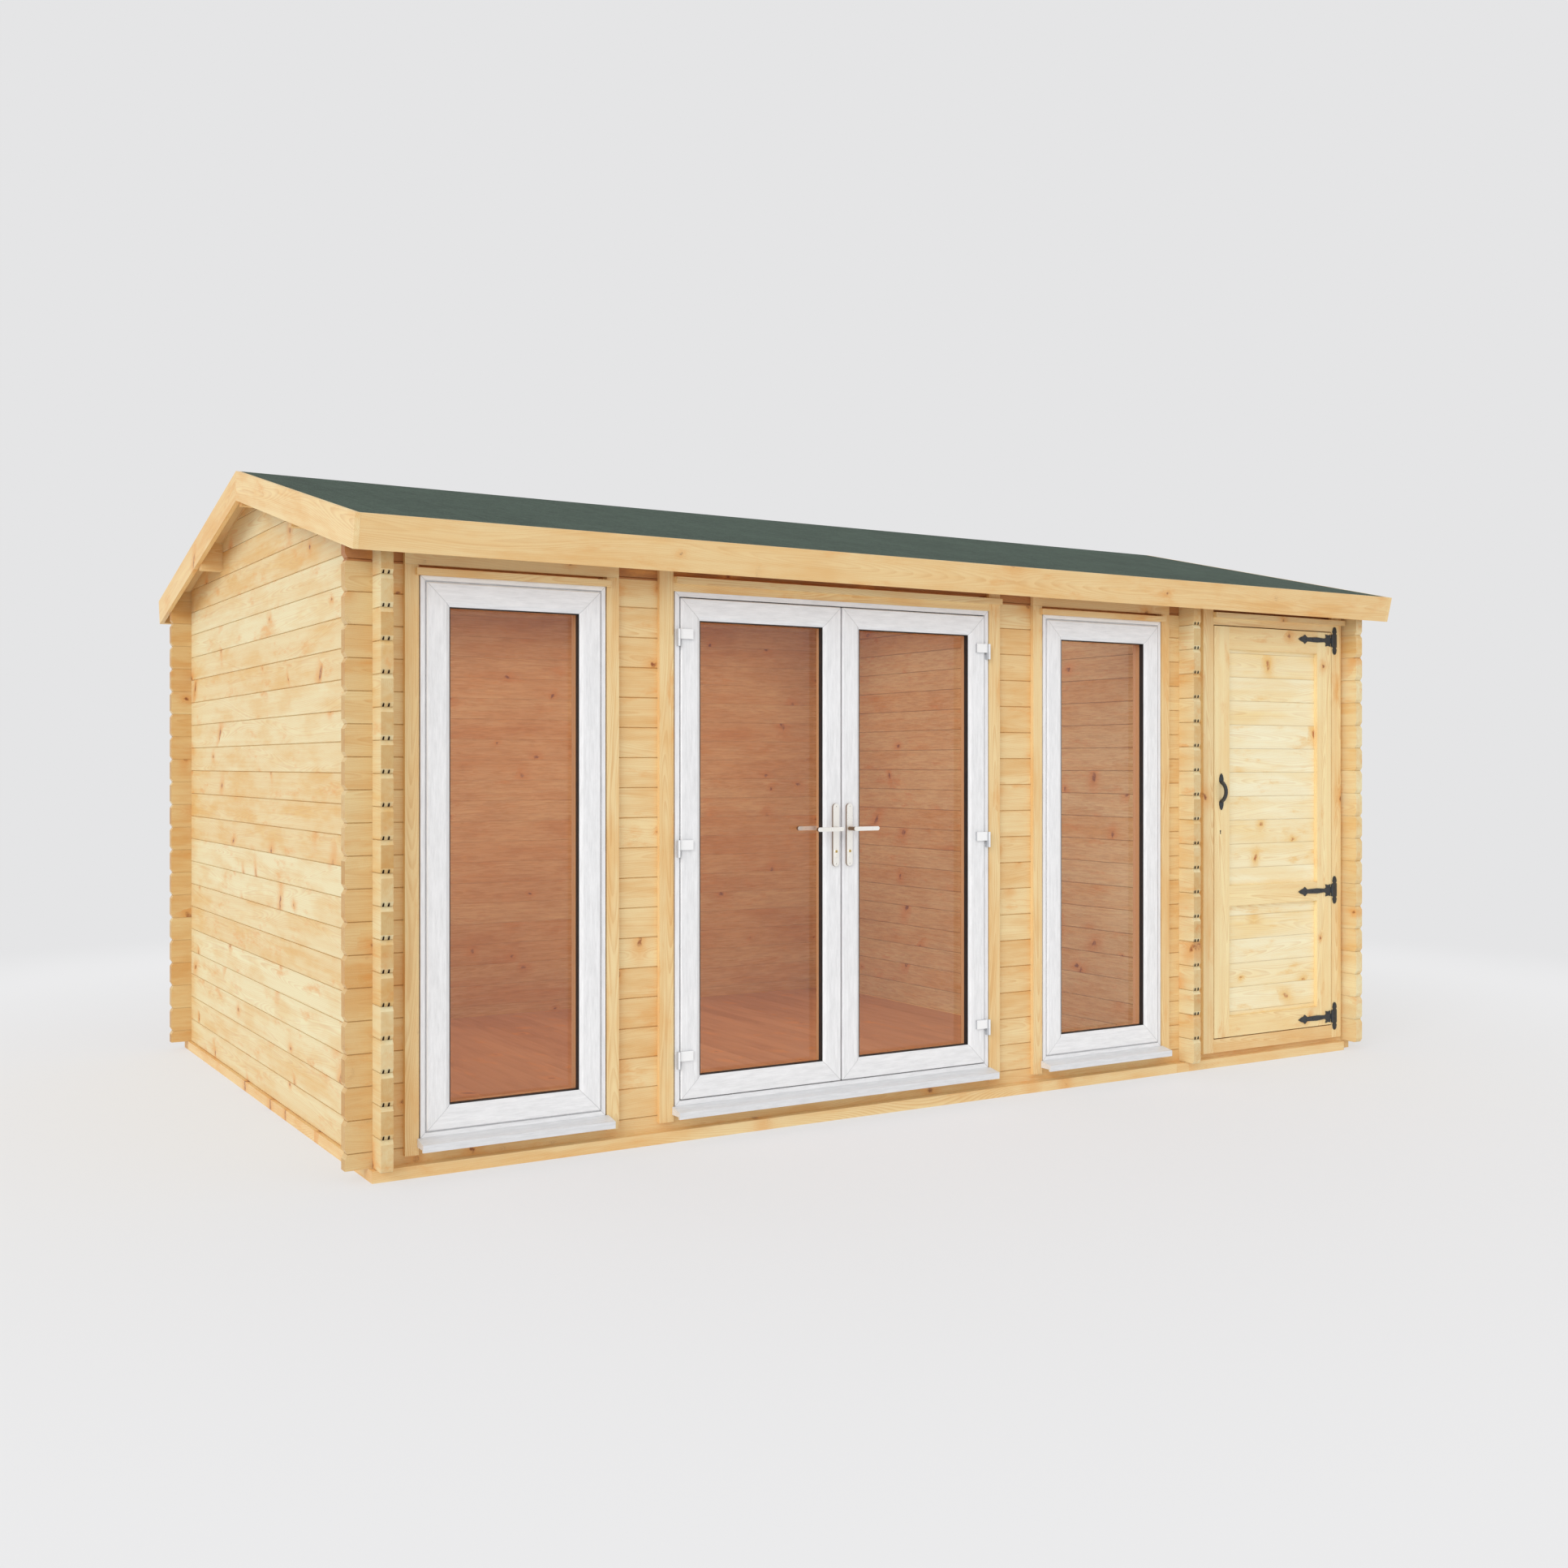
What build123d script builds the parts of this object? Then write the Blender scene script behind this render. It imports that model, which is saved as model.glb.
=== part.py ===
from build123d import *
from math import ceil, cos, radians, sin, tan
import os

# Garden log cabin, in millimetres: X from side to side, front towards -Y, ground at Z = 0,
# origin on the ground under the middle of the roof

# Logs and their corner joints
LOG_PITCH = 114.0           # height of one log, from joint to joint
LOG_THICKNESS = 44.0
STUB_LENGTH = 96.0          # log ends past the crossing wall's outer face
GROOVE_DEPTH = 3.0          # V joint between logs, on the weather side
END_CHAMFER = 10.0          # cut back on each log end, above and below
END_CHAMFER_RISE = 17.0
FIT = 0.3                   # seating clearance between pieces

# The front from left to right: piers, glazed units and the store
LEFT_PIER = 121.0
WINDOW_WIDTH = 712.0
WINDOW_DOOR_PIER = 293.0
DOOR_WIDTH = 1526.0
DOOR_WINDOW_PIER = 310.0
PARTITION_PIER = 139.0
STORE_WIDTH = 1091.0        # clear width inside the store

# Depth and heights
CABIN_DEPTH = 3056.0        # over the outer faces of the front and back walls
BEARER_HEIGHT = 43.0
CILL_HEIGHT = 31.0          # top of the sill log to the underside of a glazed unit
UNIT_HEIGHT = 1975.0        # glazed windows and doors
HEAD_HEIGHT = 198.0         # top of a unit to the roof boards, at the wall's outer face
SETTLING_GAP = 12.0         # open slot above each head trim, for the logs to settle

# Ground frame and floor
BEARER_WIDTH = 88.0
BEARER_LEDGE = 44.0         # front and back bearers past the wall's outer face
SIDE_LEDGE = 15.0           # side bearers past the side wall's outer face
FLOOR_BOARD = 18.0
JOIST_WIDTH = 60.0
JOIST_COUNT = 7
BEARER_JOINT = 79.0         # joint in the front bearer to the middle of the partition

# Roof
ROOF_PITCH = 13.27          # degrees
ROOF_BOARD = 18.0
FELT_THICKNESS = 3.0
EAVES_OVERHANG = 185.0      # front wall's outer face to the fascia's upper edge
FASCIA_DEPTH = 122.0
FASCIA_THICKNESS = 19.0
PURLIN_WIDTH = 44.0
PURLIN_DEPTH = 126.0        # on the purlin's centre line
PURLIN_OFFSET = 805.0       # ridge to the middle of a side purlin, on plan

# Trims round the openings
CASING_WIDTH = 50.0         # beside the windows
DOOR_CASING = 60.0          # beside the double door
CASING_GAP = 6.0            # open joint between a unit and its casing
CASING_THICKNESS = 20.0
CASING_DROP = 27.0          # casing's lower end below the top of the sill log
CASING_RISE = 62.0          # head casing above the settling gap
DRIP_HEIGHT = 25.0
DRIP_PROJECTION = 18.0      # in front of the casing
DRIP_EAR = 12.0             # past the unit at each end
DOOR_HEAD_BOARD = 55.0      # over the double door
STORE_HEAD_BOARD = 63.0     # over the store door

# Glazed units
FRAME_DEPTH = 70.0
FRAME_FACE = 16.0           # outer frame showing round a window's sash
SASH_FACE = 84.0            # bar of a sash or a glazed leaf round the glass
SASH_PROUD = 6.0            # sash and door leaves in front of their frames
SASH_GROOVE = 6.0           # shadow line between frame and sash
SASH_GROOVE_DEPTH = 10.0
BEAD_WIDTH = 14.0           # sloping bead next to the glass
BEAD_DEPTH = 8.0
GLASS_SETBACK = 26.0        # glass behind the unit's face
GLASS_THICKNESS = 24.0
GASKET_THICKNESS = 3.0
CILL_PROJECTION = 63.0      # nose in front of the unit's face
CILL_FALL = 13.0
CILL_NOSE = 26.0
CILL_EAR = 12.0
CILL_LIP = 10.0

# Double doors
DOOR_FRAME_FACE = 19.0
DOOR_STOP = 15.0
RUNNING_GAP = 5.0
MEETING_GAP = 8.5
LEAF_THICKNESS = 56.0
LEAF_CHAMFER = 3.0
AXIS_PROUD = 9.0            # hinge axis in front of the leaf's face
AXIS_INSET = 8.0            # hinge axis from the outer edge of the door frame
HINGE_RADIUS = 8.0
HINGE_HEIGHT = 66.0
HINGE_FLAG_HEIGHT = 38.0    # upper part, on the leaf
HINGE_FLAG = 64.0           # hinge axis to the end of the flag
HINGE_FLAG_THICKNESS = 9.0
HINGE_END_INSET = 153.0     # leaf's end to the middle of an end hinge
HANDLE_HEIGHT = 1181.0      # lever's axis above the ground
HANDLE_BACKSET = 29.0       # lever's axis from the leaf's meeting edge
PLATE_WIDTH = 29.0
PLATE_LENGTH = 255.0
PLATE_THICKNESS = 8.0
PLATE_ABOVE_AXIS = 102.0
LEVER_LENGTH = 125.0
LEVER_SECTION = 17.0
LEVER_THICKNESS = 12.0
LEVER_STANDOFF = 34.0       # plate's face to the lever's near side
SPINDLE = 8.0               # square bar
SPINDLE_BORE = 6.4          # radius of the hole it turns in
LEVER_NECK = 8.0            # radius of the neck between plate and lever

# Store door
STORE_CASING = 68.0
STORE_LEAF_HEIGHT = 1973.0
STORE_LEAF_BOTTOM = 33.0    # leaf's lower edge above the top of the sill log
STORE_LEFT_MARGIN = 96.0    # partition to the casing's outer edge
STORE_RIGHT_MARGIN = 24.0   # casing's outer edge to the right wall
STORE_THRESHOLD_DROP = 35.0
JAMB_THICKNESS = 20.0
JAMB_STOP = 15.0
STORE_STOP_DEPTH = 19.0
STORE_STILE = 102.0
STORE_TOP_RAIL = 109.0
STORE_RAIL = 97.0
STORE_MID_RAIL = 725.0      # leaf's lower edge to the top of the middle rail
STORE_RAIL_THICKNESS = 20.0
STORE_BOARD_THICKNESS = 20.0
STRAP_LENGTH = 244.0        # hinge axis to the point of the strap
STRAP_WIDTH = 26.0
STRAP_ROOT = 60.0           # height of the strap next to the hinge axis
STRAP_THICKNESS = 4.0
STRAP_PLATE_HEIGHT = 138.0
STRAP_PLATE_WIDTH = 30.0
STRAP_KNUCKLE = 6.0
STRAP_END_INSET = 40.0      # leaf's end to the middle of an end strap
PULL_LENGTH = 176.0
PULL_HEIGHT = 1312.0        # middle of the pull above the ground
PULL_INSET = 45.0           # leaf's free edge to the pull
PULL_PROJECTION = 36.0
PULL_PLATE = 42.0           # length of the leaf shaped plate at each end
PULL_PLATE_WIDTH = 26.0
PULL_GRIP_WIDTH = 16.0
PULL_GRIP_THICKNESS = 9.0

# Places worked out from the sizes above
MAIN_WIDTH = (LEFT_PIER + WINDOW_WIDTH + WINDOW_DOOR_PIER + DOOR_WIDTH + DOOR_WINDOW_PIER
              + WINDOW_WIDTH + PARTITION_PIER)
CABIN_WIDTH = MAIN_WIDTH + STORE_WIDTH + 3 * LOG_THICKNESS
x_left = -CABIN_WIDTH / 2
x_right = CABIN_WIDTH / 2
y_front = -CABIN_DEPTH / 2
y_back = CABIN_DEPTH / 2
left_centre = x_left + LOG_THICKNESS / 2
right_centre = x_right - LOG_THICKNESS / 2
partition_centre = x_left + 1.5 * LOG_THICKNESS + MAIN_WIDTH
front_centre = y_front + LOG_THICKNESS / 2
back_centre = y_back - LOG_THICKNESS / 2
stub_left = x_left - STUB_LENGTH
stub_right = x_right + STUB_LENGTH
stub_front = y_front - STUB_LENGTH
stub_back = y_back + STUB_LENGTH

sill_top = BEARER_HEIGHT + LOG_PITCH / 2
unit_bottom = sill_top + CILL_HEIGHT
unit_top = unit_bottom + UNIT_HEIGHT
pier_top = unit_top + DRIP_HEIGHT + SETTLING_GAP
door_slot_top = unit_top + DOOR_HEAD_BOARD + SETTLING_GAP
store_slot_top = unit_top + STORE_HEAD_BOARD + SETTLING_GAP
unit_face = y_front - CASING_THICKNESS
leaf_face = unit_face - SASH_PROUD
glass_front = unit_face + GLASS_SETBACK

left_window = x_left + LOG_THICKNESS + LEFT_PIER + WINDOW_WIDTH / 2
door_centre = left_window + WINDOW_WIDTH / 2 + WINDOW_DOOR_PIER + DOOR_WIDTH / 2
right_window = door_centre + DOOR_WIDTH / 2 + DOOR_WINDOW_PIER + WINDOW_WIDTH / 2
window_centres = (left_window, right_window)

slope = tan(radians(ROOF_PITCH))
across = cos(radians(ROOF_PITCH))
down = sin(radians(ROOF_PITCH))
apex = unit_top + HEAD_HEIGHT + CABIN_DEPTH / 2 * slope
roof_build = ROOF_BOARD + FELT_THICKNESS
fascia_run = (CABIN_DEPTH / 2 + EAVES_OVERHANG - roof_build * down) / across

# Logs that run from front to back start full, the others start with half a log
side_joints = [BEARER_HEIGHT + k * LOG_PITCH for k in range(ceil((apex - BEARER_HEIGHT) / LOG_PITCH))]
cross_joints = [z + LOG_PITCH / 2 for z in side_joints]


def underside(y):
    """Height of the roof boards' underside at a distance y from the ridge."""
    return apex - abs(y) * slope


def on_slope(run, rise):
    """Point (y, z) of the front slope: run down it from the ridge, rise square to it."""
    return (-run * across - rise * down, apex - run * down + rise * across)


def facing(y):
    """Elevation plane at depth y, drawn as seen from the front."""
    return Plane.XZ.offset(-y)


def patch(u0, u1, v0, v1, mode=Mode.ADD):
    """Rectangle between two opposite corners in the sketch being drawn."""
    with Locations(((u0 + u1) / 2, (v0 + v1) / 2)):
        return Rectangle(u1 - u0, v1 - v0, mode=mode)


def diamonds(places, depth, rise):
    """V notches cut into an upright edge to the given depth, rising as much above and below the place."""
    with Locations(*places):
        Polygon((-depth, 0), (0, -rise), (depth, 0), (0, rise), align=None, mode=Mode.SUBTRACT)


def log_stack(centre, joints, top_low, top_high):
    """Cross section of a stack of logs with V joints on one side, the weather side of an outer wall."""
    near = centre - LOG_THICKNESS / 2
    far = centre + LOG_THICKNESS / 2
    Polygon((near, BEARER_HEIGHT), (far, BEARER_HEIGHT), (far, top_high), (near, top_low), align=None)
    grooved = far if centre in (right_centre, back_centre) else near
    diamonds([(grooved, z) for z in joints], GROOVE_DEPTH, GROOVE_DEPTH)


def crossing_notches(centres, joints):
    """Half-lap notches, centred on a wall's joints, that take the logs of the crossing walls."""
    with Locations(*[(centre, z) for centre in centres for z in joints]):
        Rectangle(LOG_THICKNESS + 2 * FIT, LOG_PITCH / 2 + FIT, mode=Mode.SUBTRACT)


def side_wall(centre):
    """Gable wall with stubs front and back, notched for the cross walls and the purlins."""
    with BuildPart() as wall:
        with BuildSketch(facing(stub_back)):
            log_stack(centre, side_joints, apex, apex)
        extrude(amount=stub_back - stub_front)
        with BuildSketch(Plane.YZ.offset(centre - LOG_THICKNESS)):
            Polygon(
                (stub_front, BEARER_HEIGHT),
                (stub_back, BEARER_HEIGHT),
                (stub_back, underside(stub_back) - FIT),
                (0, apex - FIT),
                (stub_front, underside(stub_front) - FIT),
                align=None,
            )
            crossing_notches((front_centre, back_centre), side_joints)
            ends = [(end, z) for z in side_joints for end in (stub_front, stub_back)]
            diamonds(ends, END_CHAMFER, END_CHAMFER_RISE)
            for y in (-PURLIN_OFFSET, 0, PURLIN_OFFSET):
                bottom = underside(y) - PURLIN_DEPTH - FIT
                patch(y - PURLIN_WIDTH / 2 - FIT, y + PURLIN_WIDTH / 2 + FIT, bottom, apex, Mode.SUBTRACT)
        extrude(amount=2 * LOG_THICKNESS, mode=Mode.INTERSECT)
    return wall.part


def cross_wall(centre, spans, cuts=()):
    """Logs that run from side to side, kept within the spans (x0, x1, z0, z1) and notched."""
    near = centre - LOG_THICKNESS / 2
    far = centre + LOG_THICKNESS / 2
    with BuildPart() as wall:
        with BuildSketch(Plane.YZ.offset(stub_left)):
            log_stack(centre, cross_joints, underside(near) - FIT, underside(far) - FIT)
        extrude(amount=stub_right - stub_left)
        with BuildSketch(facing(far + LOG_THICKNESS)):
            for span in spans:
                patch(*span)
            for cut in cuts:
                patch(*cut, Mode.SUBTRACT)
            crossing_notches((left_centre, partition_centre, right_centre), cross_joints)
            ends = [(end, z) for z in cross_joints for end in (stub_left, stub_right)]
            diamonds(ends, END_CHAMFER, END_CHAMFER_RISE)
        extrude(amount=3 * LOG_THICKNESS, mode=Mode.INTERSECT)
    return wall.part


def mitred_frame(centre, width, bottom, height, face, profile):
    """Four bars round a rectangle, mitred; profile lists (inwards from the edge, behind the face)."""
    left = centre - width / 2
    right = centre + width / 2
    top = bottom + height
    reach = max(point[0] for point in profile)
    with BuildPart() as frame:
        with BuildLine(facing(face)) as edge:
            Polyline(
                (centre, bottom), (right, bottom), (right, top), (left, top), (left, bottom), (centre, bottom)
            )
        with BuildSketch(Plane.YZ.offset(centre)):
            Polygon(*[(face + depth, bottom + inwards) for inwards, depth in profile], align=None)
        sweep(path=edge.wire(), transition=Transition.RIGHT)
        with BuildSketch(facing(face + 2 * FRAME_DEPTH)):
            for x, z, turn in ((left, bottom, 45), (right, bottom, -45), (left, top, -45), (right, top, 45)):
                with Locations((x, z)):
                    Rectangle(3 * reach, FIT, rotation=turn)
        extrude(amount=4 * FRAME_DEPTH, mode=Mode.SUBTRACT)
    return frame.part


def glazing(openings, thickness, front, inset):
    """Panes between (x0, x1, z0, z1), set in from the surrounding bars by the inset."""
    with BuildPart() as panes:
        with BuildSketch(facing(front + thickness)):
            for x0, x1, z0, z1 in openings:
                patch(x0 + inset, x1 - inset, z0 + inset, z1 - inset)
        extrude(amount=thickness)
    return panes.part


def gaskets(openings, front, back):
    """Black seals that line the reveal in front of each pane."""
    with BuildPart() as seals:
        with BuildSketch(facing(back)):
            for x0, x1, z0, z1 in openings:
                patch(x0 + FIT, x1 - FIT, z0 + FIT, z1 - FIT)
            for x0, x1, z0, z1 in openings:
                rim = GASKET_THICKNESS + FIT
                patch(x0 + rim, x1 - rim, z0 + rim, z1 - rim, Mode.SUBTRACT)
        extrude(amount=back - front)
    return seals.part


def keep(part, name):
    """Label a finished piece and write it out."""
    part.label = name
    export_step(part, f"parts/{name}.step")


os.makedirs("parts", exist_ok=True)

# Ground frame: lengths of bearer butted together
bearer_joint = partition_centre - BEARER_JOINT
bearer_front = y_front - BEARER_LEDGE
bearer_back = y_back + BEARER_LEDGE
bearer_left = x_left - SIDE_LEDGE
bearer_right = x_right + SIDE_LEDGE
inner_left = bearer_left + BEARER_WIDTH
inner_right = bearer_right - BEARER_WIDTH
inner_front = bearer_front + BEARER_WIDTH
inner_back = bearer_back - BEARER_WIDTH
partition_left = partition_centre - BEARER_WIDTH / 2
partition_right = partition_centre + BEARER_WIDTH / 2
with BuildPart() as ground_bearers:
    with BuildSketch():
        patch(bearer_left, bearer_joint - FIT, bearer_front, inner_front)
        patch(bearer_joint, inner_right - FIT, bearer_front, inner_front)
        patch(bearer_left, bearer_right, inner_back, bearer_back)
        patch(bearer_left, inner_left, inner_front + FIT, inner_back - FIT)
        patch(inner_right, bearer_right, y_front, inner_back - FIT)
        patch(partition_left, partition_right, inner_front + FIT, inner_back - FIT)
    extrude(amount=BEARER_HEIGHT)
keep(ground_bearers.part, "ground_bearers")

# Floor: joists between the bearers, with the boards flush with the bearers' tops
floor_bays = (
    (inner_left + FIT, partition_left - FIT),
    (partition_right + FIT, inner_right - FIT),
)
joist_height = BEARER_HEIGHT - FLOOR_BOARD
joist_pitch = (inner_back - inner_front) / JOIST_COUNT
with BuildPart() as floor_joists:
    with BuildSketch():
        for x0, x1 in floor_bays:
            for k in range(JOIST_COUNT):
                middle = inner_front + (k + 0.5) * joist_pitch
                patch(x0, x1, middle - JOIST_WIDTH / 2, middle + JOIST_WIDTH / 2)
    extrude(amount=joist_height)
keep(floor_joists.part, "floor_joists")

for name, (x0, x1) in zip(("main_floor", "store_floor"), floor_bays):
    with BuildPart() as floor:
        with BuildSketch(Plane.XY.offset(joist_height)):
            patch(x0, x1, inner_front + FIT, inner_back - FIT)
        extrude(amount=FLOOR_BOARD)
    keep(floor.part, name)

# Walls that run from front to back
keep(side_wall(left_centre), "left_wall")
keep(side_wall(partition_centre), "partition_wall")
keep(side_wall(right_centre), "right_wall")

# Back wall, whole
keep(cross_wall(back_centre, [(stub_left, stub_right, BEARER_HEIGHT, apex)]), "back_wall")

# Front wall: a sill log, piers between the openings, and the logs over them
store_right = x_right - LOG_THICKNESS - STORE_RIGHT_MARGIN
store_left = partition_centre + LOG_THICKNESS / 2 + STORE_LEFT_MARGIN
jamb_left = store_left + STORE_CASING
jamb_right = store_right - STORE_CASING
openings = [
    (left_window - WINDOW_WIDTH / 2 - FIT, left_window + WINDOW_WIDTH / 2 + FIT),
    (door_centre - DOOR_WIDTH / 2 - FIT, door_centre + DOOR_WIDTH / 2 + FIT),
    (right_window - WINDOW_WIDTH / 2 - FIT, right_window + WINDOW_WIDTH / 2 + FIT),
    (jamb_left - JAMB_THICKNESS - FIT, jamb_right + JAMB_THICKNESS + FIT),
]
edges = [stub_left] + [x for pair in openings for x in pair] + [stub_right]
piers = [(edges[k], edges[k + 1], sill_top + FIT, pier_top) for k in range(0, len(edges), 2)]
keep(cross_wall(front_centre, [(stub_left, stub_right, BEARER_HEIGHT, sill_top)]), "front_sill_log")
keep(cross_wall(front_centre, piers[:1]), "front_left_pier")
keep(cross_wall(front_centre, piers[1:3]), "front_door_piers")
keep(cross_wall(front_centre, piers[3:4]), "front_partition_pier")
keep(cross_wall(front_centre, piers[4:]), "front_right_pier")
door_slots = [(*openings[1], pier_top, door_slot_top), (*openings[3], pier_top, store_slot_top)]
head_span = (stub_left, stub_right, pier_top + FIT, apex)
keep(cross_wall(front_centre, [head_span], door_slots), "front_head_logs")

# Roof: purlins, boards, felt and the boards round its edge
for name, y in (("front_purlin", -PURLIN_OFFSET), ("ridge_purlin", 0), ("back_purlin", PURLIN_OFFSET)):
    with BuildPart() as purlin:
        with BuildSketch(Plane.YZ.offset(stub_left)):
            near = y - PURLIN_WIDTH / 2
            far = y + PURLIN_WIDTH / 2
            bottom = underside(y) - PURLIN_DEPTH
            crown = (y, underside(y) - FIT)
            Polygon(
                (near, bottom), (far, bottom), (far, underside(far) - FIT), crown,
                (near, underside(near) - FIT), align=None,
            )
        extrude(amount=stub_right - stub_left)
    keep(purlin.part, name)

board_run = fascia_run - FASCIA_THICKNESS - FIT
for layer, low, high in (("deck", 0, ROOF_BOARD), ("felt", ROOF_BOARD, roof_build)):
    with BuildPart() as front_layer:
        with BuildSketch(Plane.YZ.offset(stub_left)):
            Polygon(
                (-FIT / 2, apex + low / across), on_slope(board_run, low), on_slope(board_run, high),
                (-FIT / 2, apex + high / across), align=None,
            )
        extrude(amount=stub_right - stub_left)
    keep(front_layer.part, f"roof_{layer}_front")
    keep(mirror(front_layer.part, about=Plane.XZ), f"roof_{layer}_back")

fascia_foot = roof_build - FASCIA_DEPTH
with BuildPart() as front_fascia:
    with BuildSketch(Plane.YZ.offset(stub_left)):
        Polygon(
            on_slope(fascia_run, roof_build), on_slope(fascia_run, fascia_foot),
            on_slope(fascia_run - FASCIA_THICKNESS, fascia_foot),
            on_slope(fascia_run - FASCIA_THICKNESS, roof_build), align=None,
        )
    extrude(amount=stub_right - stub_left)
keep(front_fascia.part, "front_fascia")
keep(mirror(front_fascia.part, about=Plane.XZ), "back_fascia")

verge_places = {
    "left_verge_boards": stub_left - FASCIA_THICKNESS - FIT,
    "right_verge_boards": stub_right + FIT,
}
for name, x in verge_places.items():
    with BuildPart() as verge:
        with BuildSketch(Plane.YZ.offset(x)):
            Polygon(
                (-FIT / 2, apex + roof_build / across), on_slope(fascia_run, roof_build),
                on_slope(fascia_run, fascia_foot), (-FIT / 2, apex + fascia_foot / across), align=None,
            )
        extrude(amount=FASCIA_THICKNESS)
        mirror(about=Plane.XZ)
    keep(verge.part, name)

# Windows: frame and fixed sash, glass, seal and cill
sash_edge = FRAME_FACE + SASH_GROOVE
window_bar = sash_edge + SASH_FACE
window_profile = (
    (0, FRAME_DEPTH), (0, 0), (FRAME_FACE, 0), (FRAME_FACE, SASH_GROOVE_DEPTH),
    (sash_edge, SASH_GROOVE_DEPTH), (sash_edge, LEAF_CHAMFER - SASH_PROUD),
    (sash_edge + LEAF_CHAMFER, -SASH_PROUD), (window_bar - BEAD_WIDTH, -SASH_PROUD),
    (window_bar, BEAD_DEPTH - SASH_PROUD), (window_bar, FRAME_DEPTH),
)
window_panes = [
    (
        x - WINDOW_WIDTH / 2 + window_bar, x + WINDOW_WIDTH / 2 - window_bar,
        unit_bottom + window_bar, unit_top - window_bar,
    )
    for x in window_centres
]
for name, x in zip(("left_window_frame", "right_window_frame"), window_centres):
    keep(mitred_frame(x, WINDOW_WIDTH, unit_bottom, UNIT_HEIGHT, unit_face, window_profile), name)
keep(glazing(window_panes, GLASS_THICKNESS, glass_front, FIT), "window_glass")
keep(gaskets(window_panes, unit_face + BEAD_DEPTH - SASH_PROUD, glass_front - FIT), "window_gaskets")


def cill(centre, width):
    """Sloping cill under a glazed unit, its nose wider than the unit by an ear at each end."""
    nose_top = unit_bottom - CILL_FALL
    back = unit_face + FRAME_DEPTH
    nose = unit_face - CILL_PROJECTION
    with BuildPart() as piece:
        with BuildSketch(Plane.YZ.offset(centre - width / 2 - CILL_EAR)):
            Polygon(
                (back, sill_top + FIT), (nose + CILL_LIP, sill_top + FIT),
                (nose + CILL_LIP, nose_top - CILL_NOSE), (nose, nose_top - CILL_NOSE), (nose, nose_top),
                (unit_face, unit_bottom - FIT), (back, unit_bottom - FIT), align=None,
            )
        extrude(amount=width + 2 * CILL_EAR)
        with BuildSketch(Plane.XY):
            for side in (-1, 1):
                edge = centre + side * (width / 2 + CILL_EAR / 2)
                patch(edge - CILL_EAR / 2, edge + CILL_EAR / 2, unit_face - FIT, back)
        extrude(amount=unit_bottom, mode=Mode.SUBTRACT)
    return piece.part


keep(cill(left_window, WINDOW_WIDTH), "left_window_cill")
keep(cill(door_centre, DOOR_WIDTH), "door_cill")
keep(cill(right_window, WINDOW_WIDTH), "right_window_cill")

# Casings: uprights, a head board over them, and a drip strip over each opening
casing_bottom = sill_top - CASING_DROP
casing_head = pier_top + CASING_RISE
with BuildPart() as window_casings:
    with BuildSketch(facing(y_front - FIT)):
        for x in window_centres:
            inner = WINDOW_WIDTH / 2 + CASING_GAP
            outer = inner + CASING_WIDTH
            patch(x - outer, x - inner, casing_bottom, pier_top)
            patch(x + inner, x + outer, casing_bottom, pier_top)
            patch(x - outer, x + outer, pier_top + FIT, casing_head)
    extrude(amount=CASING_THICKNESS - FIT)
keep(window_casings.part, "window_casings")

with BuildPart() as drip_strips:
    with BuildSketch(facing(unit_face - FIT)):
        for x in window_centres:
            reach = WINDOW_WIDTH / 2 + CASING_GAP + DRIP_EAR
            patch(x - reach, x + reach, unit_top + FIT, unit_top + DRIP_HEIGHT)
        door_reach = DOOR_WIDTH / 2 + CASING_GAP + DOOR_CASING
        for x0, x1, head in (
            (door_centre - DOOR_WIDTH / 2, door_centre + door_reach, DOOR_HEAD_BOARD),
            (store_left + STORE_CASING, store_right + DRIP_EAR, STORE_HEAD_BOARD),
        ):
            patch(x0, x1, unit_top + head - DRIP_HEIGHT, unit_top + head)
    extrude(amount=DRIP_PROJECTION)
keep(drip_strips.part, "drip_strips")

with BuildPart() as door_casing:
    with BuildSketch(facing(y_front - FIT)):
        inner = DOOR_WIDTH / 2 + CASING_GAP
        outer = inner + DOOR_CASING
        patch(door_centre - outer, door_centre - inner, casing_bottom, casing_head)
        patch(door_centre + inner, door_centre + outer, casing_bottom, casing_head)
        door_head = unit_top + DOOR_HEAD_BOARD
        patch(door_centre - inner + FIT, door_centre + inner - FIT, unit_top + FIT, door_head)
    extrude(amount=CASING_THICKNESS - FIT)
keep(door_casing.part, "door_casing")

# Double door frame, with a stop behind the leaves
leaf_back = LEAF_THICKNESS - SASH_PROUD
stop_face = leaf_back + RUNNING_GAP
door_profile = (
    (0, FRAME_DEPTH), (0, 0), (DOOR_FRAME_FACE, 0), (DOOR_FRAME_FACE, stop_face),
    (DOOR_FRAME_FACE + DOOR_STOP, stop_face), (DOOR_FRAME_FACE + DOOR_STOP, FRAME_DEPTH),
)
keep(mitred_frame(door_centre, DOOR_WIDTH, unit_bottom, UNIT_HEIGHT, unit_face, door_profile), "door_frame")

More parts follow.
